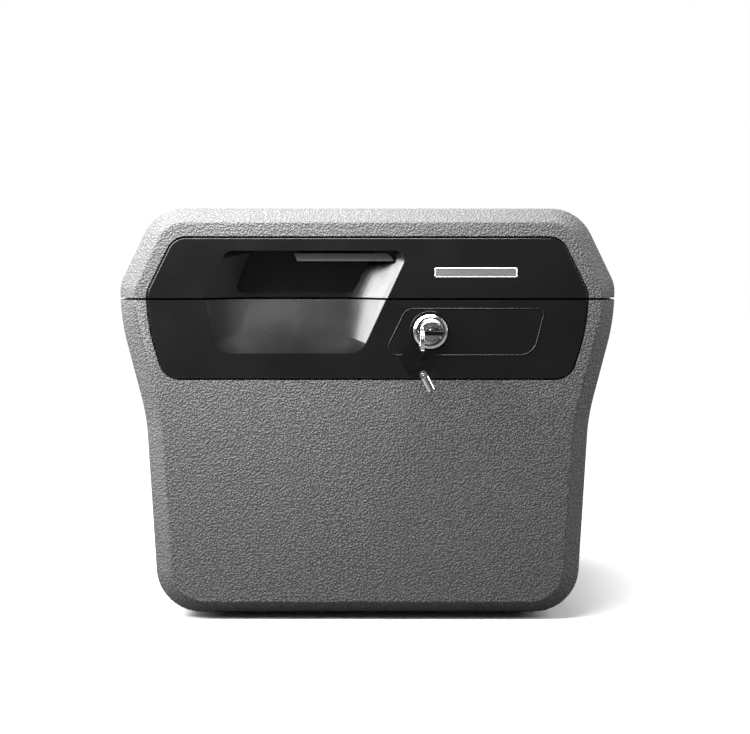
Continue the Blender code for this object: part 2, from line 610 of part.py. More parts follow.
def place_key(obj, origin, v, u):
    """Turn a piece drawn flat (v across, u along the key, thickness last) into its place."""
    n = v.cross(u)
    turn = Matrix((v, u, n)).transposed().to_4x4()
    obj.data.transform(Matrix.Translation(Vector(origin) * MM) @ turn)


def key_prism(name, corners, low, high, steps=STEPS):
    points = outline(corners, steps)
    return loft(name, [level(points, low), level(points, high)])


def key_rod(name, radius, start, end, sides=24):
    return rod(name, "Y", (0, 0), radius, start, end, sides)


def make_key(prefix, origin, v, u, pivot):
    half = BOW_THICK / 2
    bow = key_prism(prefix + "_bow", [(-BOW_HALF, BOW_HIGH, 3.5), (BOW_HALF, BOW_HIGH, 3.5),
                                      (BOW_HALF, BOW_LOW, 8), (-BOW_HALF, BOW_LOW, 8)], -half, half)
    bar = key_prism(prefix + "_bar", [(-8, -2.4, 1), (4.6, -2.4, 1), (4.6, -6.2, 1), (-8, -6.2, 1)],
                    half - 0.5, half + 0.5, 2)
    slot = key_prism(prefix + "_slot", [(SLOT_V - SLOT_R, SLOT_HIGH, SLOT_R - 0.01),
                                        (SLOT_V + SLOT_R, SLOT_HIGH, SLOT_R - 0.01),
                                        (SLOT_V + SLOT_R, SLOT_LOW, SLOT_R - 0.01),
                                        (SLOT_V - SLOT_R, SLOT_LOW, SLOT_R - 0.01)], -3, 3)
    notch = key_prism(prefix + "_notch", [(-3.5, -9.0, 3.4), (3.5, -9.0, 3.4), (3.5, -18, 0),
                                          (-3.5, -18, 0)], -3, 3)
    tang_slot = key_prism(prefix + "_tang_slot", [(-2.8, -1.6, 0), (2.8, -1.6, 0), (2.8, -12, 0),
                                                  (-2.8, -12, 0)], -0.85, 0.85)
    barrel = key_rod(prefix + "_barrel", 3.7, KEY_TIP, KEY_SHOULDER)
    bore = key_rod(prefix + "_bore", 2.7, KEY_TIP - 1, KEY_TIP + 9.0, 16)
    paddle = key_prism(prefix + "_paddle", [(-3.1, -9.4, 3.0), (3.1, -9.4, 3.0),
                                            (3.1, KEY_SHOULDER - 0.6, 0),
                                            (-3.1, KEY_SHOULDER - 0.6, 0)], -1.7, 1.7)
    tang = key_prism(prefix + "_tang", [(-2.4, -2.0, 0), (2.4, -2.0, 0), (2.4, -11, 0),
                                        (-2.4, -11, 0)], -0.5, 0.5)
    for piece in (bow, bar, slot, notch, tang_slot, barrel, bore, paddle, tang):
        place_key(piece, origin, v, u)
    join(bow, bar)
    cut(bow, slot, notch, tang_slot)
    join(barrel, paddle, tang)
    cut(barrel, bore)
    finish(bow, "key_black", pivot)
    finish(barrel, "chrome", pivot)


def make_keys(plug, spare):
    key_middle_y = FRONT + KEY_INSIDE + KEY_TIP
    make_key("key", (LOCK_X, key_middle_y, LOCK_Z), Vector((-1, 0, 0)), Vector((0, -1, 0)), plug)
    v = Vector((math.cos(SPARE_TILT), 0, math.sin(SPARE_TILT)))
    u = Vector((-math.sin(SPARE_TILT), 0, math.cos(SPARE_TILT)))
    hang = Vector((RING_X, RING_Y, WIRE_Z - 0.25))
    make_key("spare_key", hang - v * SLOT_V - u * (SLOT_HIGH - SLOT_R), v, u, spare)


def make_key_ring(ring):
    """Flat-sided ring standing in the YZ plane, through both keys' slots."""
    mean, radial = (RING_IN + RING_OUT) / 2, (RING_OUT - RING_IN) / 2
    around, section = 32, 8
    bm = bmesh.new()
    rows = []
    for i in range(around):
        turn = 2 * math.pi * i / around
        row = []
        for j in range(section):
            angle = 2 * math.pi * (j + 0.5) / section
            r = mean + radial * math.cos(angle) / math.cos(math.pi / section)
            x = RING_HALF_WIDTH * math.sin(angle) / math.cos(math.pi / section)
            row.append(bm.verts.new(Vector((RING_X + x, RING_Y + r * math.cos(turn),
                                            RING_Z + r * math.sin(turn))) * MM))
        rows.append(row)
    for i in range(around):
        for j in range(section):
            a, b = rows[i], rows[(i + 1) % around]
            k = (j + 1) % section
            bm.faces.new((a[j], a[k], b[k], b[j]))
    finish(make_object("key_ring", bm), "chrome", ring)


# --- Hinges and feet ---------------------------------------------------------------------------

def hinge_leaf(name, x, up, tabs):
    """One leaf: a plate with knuckles on the stretches given in tabs."""
    z0, z1 = SEAM + LEAF_CLEAR, SEAM + LEAF_CLEAR + LEAF_HEIGHT
    if not up:
        z0, z1 = SEAM - LEAF_CLEAR - LEAF_HEIGHT, SEAM - LEAF_CLEAR
    near, far = BACK + LEAF_NEAR, BACK + LEAF_FAR
    leaf = box(name, x - LEAF_HALF, x + LEAF_HALF, near, far, z0, z1)
    for i, (a, b) in enumerate(tabs):
        tab_z = (SEAM - 0.5, z0 + 2) if up else (z1 - 2, SEAM + 0.5)
        join(leaf, box(f"{name}_tab_{i}", x + a, x + b, near + 0.01, far - 0.01, *tab_z),
             rod(f"{name}_knuckle_{i}", "X", (HINGE_Y, SEAM), KNUCKLE_R, x + a + 0.01, x + b - 0.01, 20))
    cut(leaf, rod(name + "_bore", "X", (HINGE_Y, SEAM), PIN_R + 0.2, x - 30, x + 30, 16))
    middle = (z0 + z1) / 2
    for side in (-1, 1):
        cut(leaf, rod(f"{name}_hole_{side}", "Y", (x + side * SCREW_SPREAD, middle), SCREW_HOLE_R,
                      BACK - 5, BACK + 5, 12))
    return leaf, middle


def make_hinges(lid, body_shell, lid_shell):
    inner = (-LEAF_HALF + TAB + 0.4, LEAF_HALF - TAB - 0.4)
    ends = [(-LEAF_HALF, -LEAF_HALF + TAB), (LEAF_HALF - TAB, LEAF_HALF)]
    for x, word in ((-HINGE_X, "left"), (HINGE_X, "right")):
        for name, up, tabs, shell, pivot in (("hinge_body_leaf", False, ends, body_shell, None),
                                             ("hinge_lid_leaf", True, [inner], lid_shell, lid)):
            leaf, middle = hinge_leaf(f"{name}_{word}", x, up, tabs)
            finish(leaf, "black_steel", pivot)
            for side, end in ((-1, "a"), (1, "b")):
                where = (x + side * SCREW_SPREAD, middle)
                tag = f"{name[:-5]}_screw_{word}_{end}"
                screw = rod(tag, "Y", where, SCREW_R, BACK - WALL + 0.2, BACK + LEAF_FAR + 1, 12)
                join(screw, rod(tag + "_head", "Y", where, LEAF_HEAD_R, BACK + LEAF_FAR + GAP,
                                BACK + LEAF_FAR + 1.9, 16))
                finish(screw, "black_steel", pivot)
                cut(shell, rod(tag + "_pilot", "Y", where, SCREW_HOLE_R, BACK - 8, BACK + 1, 12))
        pin = rod(f"hinge_pin_{word}", "X", (HINGE_Y, SEAM), PIN_R, x - LEAF_HALF - 1,
                  x + LEAF_HALF + 1, 16)
        join(pin, rod(f"hinge_pin_head_{word}", "X", (HINGE_Y, SEAM), 2.4, x - LEAF_HALF - 1.8,
                      x - LEAF_HALF - GAP, 16))
        finish(pin, "zinc_steel")


def make_feet(body_shell):
    for x, side in ((-FOOT_X, "left"), (FOOT_X, "right")):
        for y, end in ((FRONT + FOOT_MARGIN, "front"), (BACK - FOOT_MARGIN, "rear")):
            name = f"foot_{end}_{side}"
            foot = rod(name, "Z", (x, y), SOLE_R, 0.0, FOOT_HEIGHT - GAP, 24, FOOT_R)
            join(foot, rod(name + "_stem", "Z", (x, y), STEM_R, 2.0, FLOOR_TOP - 0.5, 12))
            finish(foot, "seal_rubber")
            cut(body_shell, rod(name + "_hole", "Z", (x, y), STEM_R + GAP, 0.0, FLOOR_TOP + 2.0, 12))


# --- Assembly ----------------------------------------------------------------------------------

def main():
    for obj in list(bpy.data.objects):
        bpy.data.objects.remove(obj)
    lid = pivot_at("lid_hinge_axis", 0, HINGE_Y, SEAM)
    latch = pivot_at("latch_axis", 0, FRONT + PIVOT_DEPTH, PIVOT_Z, lid)
    plug = pivot_at("lock_axis", LOCK_X, FRONT, LOCK_Z)
    ring = pivot_at("ring_axis", RING_X, RING_Y, LOCK_Z, plug)
    spare = pivot_at("spare_key_axis", RING_X, RING_Y, WIRE_Z, ring)

    body_shell = make_shell("body_shell", None, BODY_TOP)
    lid_shell = make_shell("lid_shell", LID_BOTTOM, None, lid)
    make_body_insulation()
    make_lid_insulation(lid)
    make_body_liner()
    make_lid_liner(lid)
    make_gasket(lid)
    make_file_rails()
    make_lower_bezel()
    make_upper_bezel(lid)
    make_nameplate(lid)
    make_latch_lever(latch)
    make_latch_pin(lid)
    make_latch_spring(lid)
    make_keeper()
    make_lock()
    make_plug(plug)
    make_striker(lid)
    make_keys(plug, spare)
    make_key_ring(ring)
    make_hinges(lid, body_shell, lid_shell)
    make_feet(body_shell)


main()
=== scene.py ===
"""Looks for a fireproof document box: casings, bezels, lock, keys, latch, hinges and finishes.

Lengths are millimetres until a mesh is made. X runs across, Y to the back, Z up. Places come from
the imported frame: FRONT and BACK are the casing's faces, SEAM the split between body and lid.
"""

import functools
import json
import math

import bmesh
import bpy
from mathutils import Matrix, Vector


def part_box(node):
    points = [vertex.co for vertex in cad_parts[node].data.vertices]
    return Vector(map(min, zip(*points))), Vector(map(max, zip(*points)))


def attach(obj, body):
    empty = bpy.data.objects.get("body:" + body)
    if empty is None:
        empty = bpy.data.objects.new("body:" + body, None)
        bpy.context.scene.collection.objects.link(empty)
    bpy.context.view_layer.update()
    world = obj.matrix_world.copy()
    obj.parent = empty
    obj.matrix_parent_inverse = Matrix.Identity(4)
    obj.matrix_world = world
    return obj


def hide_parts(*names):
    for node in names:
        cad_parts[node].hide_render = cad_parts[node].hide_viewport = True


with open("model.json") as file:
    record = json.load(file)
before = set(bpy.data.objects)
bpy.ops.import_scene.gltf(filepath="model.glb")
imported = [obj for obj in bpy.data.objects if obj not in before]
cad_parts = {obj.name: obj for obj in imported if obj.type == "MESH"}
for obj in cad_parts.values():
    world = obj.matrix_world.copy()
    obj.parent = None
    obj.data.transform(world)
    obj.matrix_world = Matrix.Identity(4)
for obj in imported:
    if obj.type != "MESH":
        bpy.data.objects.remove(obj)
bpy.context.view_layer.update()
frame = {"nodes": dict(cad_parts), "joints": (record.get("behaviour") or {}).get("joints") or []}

MM = 0.001
SHARP_ANGLE, BEVEL_ANGLE = math.radians(35), math.radians(40)


# --- Places from the frame ---

def joint_place(name):
    joint = next(j for j in frame["joints"] if j["name"] == name)
    return Vector(joint["pos_m"]) / MM


def node_box(name):
    low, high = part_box(name)
    return Vector(low) / MM, Vector(high) / MM


_, HINGE_Y, SEAM = joint_place("lid_hinge")
LOCK_X, _, LOCK_Z = joint_place("key_turn")
RING_X, RING_Y, _ = joint_place("ring_swing")
_, PIVOT_Y, PIVOT_Z = joint_place("latch_lift")
WIRE_Z = joint_place("spare_key_swing").z
RING_Z = sum(corner.z for corner in node_box("key_ring")) / 2
(_, FRONT, _), (_, BACK, BODY_TOP) = node_box("body_shell")
LID_BOTTOM = node_box("lid_shell")[0].z

# Right half of the outlines, bottom to top: x, height, corner radius
OUTER = [(180.8, 5.0, 38.5), (189.9, 175.2, 180.0), (211.0, 258.9, 180.0),
         (211.2, 288.8, 28.0), (179.7, 353.0, 38.0)]
FACE = [(166.8, 15.8, 28.0), (175.8, 173.8, 170.0), (199.0, 265.0, 90.0),
        (199.1, 282.4, 22.0), (170.2, 341.6, 24.0)]
PANEL = [(172.2, 209.1, 17.0), (184.2, 250.0, 150.0), (186.8, 281.5, 25.0), (163.5, 328.1, 16.0)]
DEPTH, CHAMFER, WALL, FRONT_WALL = BACK - FRONT, 12.0, 3.0, 8.0
PANEL_THICK, PANEL_GAP, LEDGE, PLATE_EDGE = 4.2, 1.6, 6.0, 1.1
CASING_EDGE, BEZEL_EDGE, GAP = 0.25, 0.3, 0.3

# Scoop in the bezels: depth at the seam, heights of its foot and head, its ends at the foot and
# how fast they move outwards with height; its floor's corners in each bezel, lapping the seam
SCOOP_DEPTH, SCOOP_FOOT, SCOOP_HEAD, BOWL_WALL = 19.6, 229.8, 317.5, 2.4
SCOOP_LEFT, LEFT_SLOPE, SCOOP_RIGHT, RIGHT_SLOPE = -128.9, -0.2384, -5.1, 0.4766
LAP_TOP, LAP_FOOT = SEAM + 2, SEAM - 2
LOWER_FLOOR = [(-112.2, LAP_TOP, 0), (-117.0, 233.0, 12), (-15.0, 233.0, 12), (-11.2, LAP_TOP, 0)]
UPPER_FLOOR = [(-12.0, LAP_FOOT, 0), (7.0, 316.0, 4), (-99.0, 316.0, 4), (-112.5, LAP_FOOT, 0)]
POCKET = [(-12.5, 281.4, 5.0), (7.6, 320.3, 2.0), (-98.9, 320.3, 2.0), (-114.0, 281.4, 5.0)]
POCKET_DEPTH, POCKET_WALL = 23.0, 1.5
# Steps down the scoop's wall: share of the way in from the rim, share of the floor's depth
SCOOP_WALL = [(0.0, 0.0), (0.02, 0.006), (0.045, 0.025), (0.08, 0.06)]
SCOOP_WALL += [(percent / 100, percent / 100) for percent in range(20, 156, 15)]
SCOOP_BLEND = 0.5

# Bezel details: snap lugs, boss and groove round the lock, nameplate
LOWER_LUGS, UPPER_LUGS, LUG_HALF, LUG_BACK = (-120.0, 0.0, 120.0), (-135.0, 60.0, 130.0), 5.0, 11.0
BOSS_R, GROOVE_IN, GROOVE_OUT, GROOVE_DEPTH = 16.0, 13.1, 16.1, 0.9
PLATE_CORNER, PLATE_PLAY, PLATE_SEAT = 1.2, 0.2, 0.6

# Latch lever: spans along x, heights and depths behind the front face
LIP, LIP_LOW, LIP_HIGH, LIP_FRONT, LIP_BACK = (-62.4, 22.5), 308.3, 315.4, 5.0, 8.0
BARREL, EARS, EAR_THICK = (-56.0, -6.0), (-61.0, 0.0), 4.0
ARM, HOOK_LOW, HOOK_HIGH = (-40.0, -14.0), 262.5, 266.0
ARM_FRONT, ARM_BACK, HOOK_FRONT, HOOK_BACK = 33.2, 36.4, 34.8, 42.0
LEVER_LOW, LEVER_TOP, BARREL_R = 311.4, 314.0, 3.4
PIN_R, PIN_BORE = 1.5, 1.7

# Lock, keys and ring
LOCK_BODY_R, PLUG_R, FLANGE_R, LOCK_BACK = 11.0, 7.9, 14.6, 33.0
BOW_HALF, BOW_LOW, BOW_HIGH, BOW_THICK = 11.2, -14.3, 10.3, 3.0
KEY_TIP, KEY_SHOULDER, KEY_INSIDE = -27.0, -15.0, 7.6
SLOT_V, SLOT_LOW, SLOT_HIGH, SLOT_R = 7.6, -3.6, 6.8, 2.2
RING_IN, RING_OUT, RING_HALF_WIDTH = 8.5, 10.0, 1.7
SPARE_TILT, HANG_SLACK = math.radians(27.0), 0.25

# Fine lines on the lower bezel
FIELD = [(13.7, 229.0, 7), (140.9, 229.0, 15), (150.8, 268.5, 5), (32.9, 268.5, 10)]
HALO_R = 17.2

# Gasket, hinges and feet
BULB_HALF, GASKET_CORNER = 2.5, 24.0
HINGE_X, LEAF_HALF, TAB, KNUCKLE_R = 110.0, 23.0, 10.5, 2.95
LEAF_NEAR, LEAF_FAR, LEAF_HEIGHT, LEAF_CLEAR = 0.3, 1.9, 20.0, 3.6
SCREW_SPREAD, PIN_HEAD_R, HALF_BORE = 15.0, 2.4, 30.0


# --- Outlines ---

def outline(corners, steps=10):
    """Closed outline through (x, z, radius) corners, each rounded by an arc."""
    points = []
    for i, (x, z, radius) in enumerate(corners):
        here = Vector((x, z))
        if radius == 0:
            points.append(here)
            continue
        before = (Vector(corners[i - 1][:2]) - here).normalized()
        after = (Vector(corners[(i + 1) % len(corners)][:2]) - here).normalized()
        half = before.angle(after) / 2
        centre = here + (before + after).normalized() * (radius / math.sin(half))
        spoke = here + before * (radius / math.tan(half)) - centre
        turn = math.pi - 2 * half
        if before.cross(after) > 0:
            turn = -turn
        for step in range(steps + 1):
            points.append(centre + Matrix.Rotation(turn * step / steps, 2) @ spoke)
    return points


def both_sides(half):
    """Full list of corners from the right half, bottom to top, then the left half."""
    return half + [(-x, z, radius) for x, z, radius in reversed(half)]


def oblong(x0, x1, z0, z1, radius=0.0, other=None):
    """Corners of a rectangle, with one radius at z0 and, where it differs, another at z1."""
    other = radius if other is None else other
    return [(x0, z0, radius), (x1, z0, radius), (x1, z1, other), (x0, z1, other)]


def node_front(name, play, *radii):
    """Corners of a node's box as seen from the front, moved outwards by some play."""
    low, high = node_box(name)
    return oblong(low.x - play, high.x + play, low.z - play, high.z + play, *radii)


def inset(points, distance):
    """Outline moved inwards by a distance, or outwards where it is negative."""
    area = sum(a.cross(b) for a, b in zip(points, points[1:] + points[:1]))
    side = 1 if area > 0 else -1
    moved = []
    for i, here in enumerate(points):
        before = (here - points[i - 1]).normalized()
        after = (points[(i + 1) % len(points)] - here).normalized()
        normal = Vector((-before.y - after.y, before.x + after.x)).normalized() * side
        lean = max(0.5, normal.dot(Vector((-after.y, after.x)) * side))
        moved.append(here + normal * (distance / lean))
    return moved


def softened(before, corner, after, steps=4):
    """Points on a small curve that rounds a profile's corner."""
    points = []
    for i in range(steps + 1):
        s = i / steps
        points.append(tuple((1 - s) ** 2 * a + 2 * s * (1 - s) * b + s * s * c
                            for a, b, c in zip(before, corner, after)))
    return points


def upright(points, y):
    """Outline standing at a depth; y is a number or a function of height."""
    return [(p.x, y(p.y) if callable(y) else y, p.y) for p in points]


def level(points, z):
    """Outline lying at a height."""
    return [(p.x, p.y, z) for p in points]


# --- Mesh making ---

def new_object(name, data):
    obj = bpy.data.objects.new(name, data)
    bpy.context.scene.collection.objects.link(obj)
    return obj


def make_object(name, bm):
    bmesh.ops.recalc_face_normals(bm, faces=bm.faces[:])
    mesh = bpy.data.meshes.new(name)
    bm.to_mesh(mesh)
    bm.free()
    return new_object(name, mesh)


def loft(name, rings, low=None, high=None):
    """Closed solid through rings of equal length, cut off below and above two heights."""
    bm = bmesh.new()
    rows = [[bm.verts.new(Vector(p) * MM) for p in ring] for ring in rings]
    for row, following in zip(rows, rows[1:]):
        for i in range(len(row)):
            j = (i + 1) % len(row)
            bm.faces.new((row[i], row[j], following[j], following[i]))
    bm.faces.new(rows[0])
    bm.faces.new(rows[-1])
    for height, up in ((low, False), (high, True)):
        if height is None:
            continue
        cut_at = bmesh.ops.bisect_plane(
            bm, geom=bm.verts[:] + bm.edges[:] + bm.faces[:], dist=1e-7,
            plane_co=(0, 0, height * MM), plane_no=(0, 0, 1), clear_outer=up, clear_inner=not up)
        edges = [item for item in cut_at["geom_cut"] if isinstance(item, bmesh.types.BMEdge)]
        bmesh.ops.holes_fill(bm, edges=edges, sides=0)
    return make_object(name, bm)


def block(name, x0, x1, y0, y1, z0, z1):
    points = outline(oblong(x0, x1, z0, z1))
    return loft(name, [upright(points, y0), upright(points, y1)])


def turned(name, axis, centre, profile, sides=48, steps=4):
    """Round solid from a closed profile of (radius, place along the axis, corner radius).

    Profile points at radius 0 lie on the axis and become single points.
    """
    points = outline([(r, along, soft) for r, along, soft in profile], steps)
    at = "XYZ".index(axis)
    bm = bmesh.new()
    rows = []
    for p in points:
        row = []
        for i in range(1 if p.x < 1e-6 else sides):
            angle = 2 * math.pi * i / sides
            place = [centre[0] + p.x * math.cos(angle), centre[1] + p.x * math.sin(angle)]
            place.insert(at, p.y)
            row.append(bm.verts.new(Vector(place) * MM))
        rows.append(row)
    for row, following in zip(rows, rows[1:] + rows[:1]):
        if len(row) == 1 and len(following) == 1:
            continue
        for i in range(sides):
            j = (i + 1) % sides
            corners = [row[i % len(row)], row[j % len(row)],
                       following[j % len(following)], following[i % len(following)]]
            bm.faces.new(list(dict.fromkeys(corners)))
    return make_object(name, bm)


def rod(name, axis, centre, radius, start, end, sides=48):
    """Plain round bar between two places along an axis."""
    return turned(name, axis, centre, [(0, start, 0), (radius, start, 0), (radius, end, 0),
                                       (0, end, 0)], sides)


def boolean(target, operation, tools):
    for tool in tools:
        modifier = target.modifiers.new(tool.name, "BOOLEAN")
        modifier.operation = operation
        modifier.solver = "EXACT"
        modifier.object = tool
    return target


def cut(target, *tools):
    return boolean(target, "DIFFERENCE", tools)


def join(target, *tools):
    return boolean(target, "UNION", tools)


def keep_result(obj):
    """Replace an object's mesh by what its modifiers make of it, and drop the modifiers."""
    bpy.context.view_layer.update()
    graph = bpy.context.evaluated_depsgraph_get()
    mesh = bpy.data.meshes.new_from_object(obj.evaluated_get(graph))
    obj.modifiers.clear()
    old, obj.data = obj.data, mesh
    bpy.data.meshes.remove(old)
    mesh.name = obj.name


def shade(obj):
    """Smooth shading, broken at the sharp edges."""
    obj.data.shade_smooth()
    obj.data.set_sharp_from_angle(angle=SHARP_ANGLE)


def settle(obj, edge=0.0):
    """Apply the Booleans, round the sharp edges and leave one plain smooth-shaded mesh."""
    tools = []
    for modifier in obj.modifiers:
        tools.append(modifier.object)
        tools += [m.object for m in modifier.object.modifiers]
    if edge:
        rounding = obj.modifiers.new("rounded edges", "BEVEL")
        rounding.width, rounding.segments = edge * MM, 2
        rounding.limit_method, rounding.angle_limit = "ANGLE", BEVEL_ANGLE
        rounding.miter_outer = "MITER_ARC"
    keep_result(obj)
    for tool in tools:
        bpy.data.objects.remove(tool)
    shade(obj)
    weighted = obj.modifiers.new("even shading", "WEIGHTED_NORMAL")
    weighted.keep_sharp = True
    keep_result(obj)
    return obj


def fit(obj, body, slot, *nodes):
    """Give a finished piece its body, finish and the CAD nodes that it stands for."""
    obj.data.materials.clear()
    obj.data.materials.append(FINISHES[slot])
    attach(obj, body)
    if nodes:
        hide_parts(*nodes)


# --- Nodes ---

def connect(tree, socket, value):
    """Set a socket to a constant, or link it to a socket or to a node's first output."""
    if isinstance(value, bpy.types.Node):
        value = value.outputs[0]
    if isinstance(value, bpy.types.NodeSocket):
        tree.links.new(value, socket)
    else:
        socket.default_value = value


def add_node(tree, kind, inputs=(), **settings):
    """New node with its properties set and its inputs set or linked.

    A kind is a shader node's name without its prefix, or any other node's whole name.
    """
    node = tree.nodes.new(kind if "Node" in kind else "ShaderNode" + kind)
    for key, value in settings.items():
        setattr(node, key, value)
    for key, value in dict(inputs).items():
        connect(tree, node.inputs[key], value)
    return node


def new_group(kind, name, inputs, outputs):
    """Empty node group from (name, type, default) sockets.

    Returns the tree, a function that adds nodes to it, its given sockets and its results.
    """
    tree = bpy.data.node_groups.new(name, kind)
    for direction, sockets in (("INPUT", inputs), ("OUTPUT", outputs)):
        for label, socket_kind, *default in sockets:
            socket = tree.interface.new_socket(name=label, in_out=direction,
                                               socket_type="NodeSocket" + socket_kind)
            if default:
                socket.default_value = default[0]
    given, out = tree.nodes.new("NodeGroupInput"), tree.nodes.new("NodeGroupOutput")
    return tree, functools.partial(add_node, tree), given.outputs, out.inputs


def make_grain_group():
    """Pebbled mould grain: rounded bumps of two sizes with crevices between them, and a mask that
    paints the bumps' tops lighter as painted highlight and the crevices darker as painted shade.
    """
    tree, add, given, out = new_group("ShaderNodeTree", "pebble_grain_and_crest_light", [
        ("Vector", "Vector"), ("Cells per metre", "Float", 600.0), ("Wander", "Float", 0.0006)],
        [("Height", "Float"), ("Crest", "Float")])
    vector = given["Vector"]
    wander = add("TexNoise", {"Vector": vector, "Scale": 900.0, "Detail": 1.0})
    centred = add("VectorMath", {0: wander.outputs["Color"], 1: (0.5, 0.5, 0.5)},
                  operation="SUBTRACT")
    pushed = add("VectorMath", {0: centred, "Scale": given["Wander"]}, operation="SCALE")
    place = add("VectorMath", {0: vector, 1: pushed}, operation="ADD")
    cells = add("TexVoronoi", {"Vector": place, "Scale": given["Cells per metre"],
                               "Smoothness": 0.6}, feature="SMOOTH_F1")
    domes = add("MapRange", {"Value": cells, "From Min": 0.05, "From Max": 0.75,
                             "To Min": 1.0, "To Max": 0.0},
                interpolation_type="SMOOTHSTEP")
    finer = add("TexNoise", {"Vector": vector, "Scale": 1500.0, "Detail": 2.0, "Roughness": 0.6})
    height = add("Math", {0: finer, 1: 0.7, 2: domes}, operation="MULTIPLY_ADD")
    # The second output is a mask for painted light: high on the bumps' tops, low in the crevices
    # between them.
    painted_crest_light = add("MapRange", {"Value": height, "From Min": 0.55, "From Max": 1.3})
    connect(tree, out["Height"], height)
    connect(tree, out["Crest"], painted_crest_light)
    return tree


def make_handling_group():
    """Soft uneven patches, as left by hands and mould flow."""
    tree, add, given, out = new_group("ShaderNodeTree", "handling_marks", [
        ("Vector", "Vector"), ("Patches per metre", "Float", 18.0), ("Contrast", "Float", 0.5)],
        [("Mask", "Float")])
    broad = add("TexNoise", {"Vector": given["Vector"], "Detail": 5.0, "Roughness": 0.62,
                             "Scale": given["Patches per metre"]})
    low, high = (add("Math", {0: given["Contrast"], 1: -0.25, 2: offset},
                     operation="MULTIPLY_ADD") for offset in (0.5, 0.75))
    mask = add("MapRange", {"Value": broad, "From Min": low, "From Max": high})
    connect(tree, out["Mask"], mask)
    return tree


def make_rub_group():
    """Light wear in a band round one height, broken up by noise."""
    tree, add, given, out = new_group("ShaderNodeTree", "rubbed_band", [
        ("Vector", "Vector"), ("Height", "Float", SEAM * MM), ("Reach", "Float", 0.0035)],
        [("Mask", "Float")])
    split = add("SeparateXYZ", {0: given["Vector"]})
    away = add("Math", {0: split.outputs["Z"], 1: given["Height"]}, operation="SUBTRACT")
    size = add("Math", {0: away}, operation="ABSOLUTE")
    near = add("MapRange", {"Value": size, "From Min": 0.0, "From Max": given["Reach"],
                            "To Min": 1.0, "To Max": 0.0},
               interpolation_type="SMOOTHSTEP")
    broken = add("TexNoise", {"Vector": given["Vector"], "Scale": 90.0, "Detail": 4.0})
    patch = add("MapRange", {"Value": broken, "From Min": 0.45, "From Max": 0.7})
    connect(tree, out["Mask"], add("Math", {0: near, 1: patch}, operation="MULTIPLY"))
    return tree


GRAIN, HANDLING, RUB = make_grain_group(), make_handling_group(), make_rub_group()


# --- Finishes ---

class Finish:
    """One material: Object coordinates, a Principled shader and the nodes that feed it."""

    def __init__(self, name, **constants):
        self.material = bpy.data.materials.new(name)
        self.material.use_nodes = True
        self.tree = self.material.node_tree
        self.shader = self.tree.nodes["Principled BSDF"]
        for label, value in constants.items():
            self.shader.inputs[label.replace("_", " ")].default_value = value
        self.coords = self.add("TexCoord").outputs["Object"]

    def add(self, kind, inputs=(), **settings):
        return add_node(self.tree, kind, inputs, **settings)

    def noise(self, scale, detail, roughness=0.5, across=None):
        """Noise; where scales per axis are given, it runs in streaks."""
        vector = self.coords
        if across:
            vector = self.add("Mapping", {"Vector": vector, "Scale": across})
        return self.add("TexNoise", {"Vector": vector, "Scale": scale, "Detail": detail,
                                     "Roughness": roughness})

    def group(self, tree, **values):
        inputs = {label.replace("_", " "): value for label, value in values.items()}
        return self.add("Group", {"Vector": self.coords, **inputs}, node_tree=tree)

    def grain(self, cells, wander):
        node = self.group(GRAIN, Cells_per_metre=cells, Wander=wander)
        # Second result: the mask for the painted highlight on the grain's crests and the painted
        # shade in its crevices.
        return node.outputs["Height"], node.outputs["Crest"]

    def hands(self, patches, contrast):
        return self.group(HANDLING, Patches_per_metre=patches, Contrast=contrast)

    def between(self, value, low, high, from_low=0.0, from_high=1.0):
        return self.add("MapRange", {"Value": value, "From Min": from_low, "From Max": from_high,
                                     "To Min": low, "To Max": high})

    def blend(self, mask, first, second):
        """Mix two greys, colours or earlier blends by a mask."""
        inputs = {0: mask}
        for key, colour in ((6, first), (7, second)):
            if isinstance(colour, float):
                colour = (colour,) * 3
            inputs[key] = (*colour, 1.0) if isinstance(colour, tuple) else colour
        return self.add("Mix", inputs, data_type="RGBA").outputs[2]

    def done(self, colour, roughness, height, distance, strength):
        """Feed the shader, with a bump of a depth in metres, and return the material."""
        bump = self.add("Bump", {"Height": height, "Distance": distance, "Strength": strength})
        for label, source in (("Base Color", colour), ("Roughness", roughness), ("Normal", bump)):
            connect(self.tree, self.shader.inputs[label], source)
        return self.material


def make_grained_grey():
    """Grey structural foam casing with a pebbled grain, painted highlight on the grain's crests,
    painted shade in its crevices, and rubbed rims.
    """
    f = Finish("grained_grey", Specular_IOR_Level=0.45)
    height, painted_crest_light = f.grain(560.0, 0.0011)
    hands = f.hands(9.0, 0.6)
    # Painted highlight and shade: the grain's crests are painted lighter and its crevices darker.
    colour = f.blend(painted_crest_light, 0.072, 0.152)
    colour = f.blend(f.between(hands, 0.0, 0.22), colour, 0.10)
    colour = f.blend(f.between(f.group(RUB), 0.0, 0.45), colour, 0.24)
    return f.done(colour, f.between(hands, 0.48, 0.6), height, 0.00065, 1.0)


def make_satin_black():
    """Smooth satin black moulding with the faintest spark texture."""
    f = Finish("satin_black")
    hands, spark = f.hands(14.0, 0.5), f.noise(2600.0, 2.0)
    colour = f.blend(spark, 0.003, 0.006)
    colour = f.blend(f.between(hands, 0.0, 0.3), colour, 0.008)
    return f.done(colour, f.between(hands, 0.24, 0.30), spark, 0.00004, 0.6)


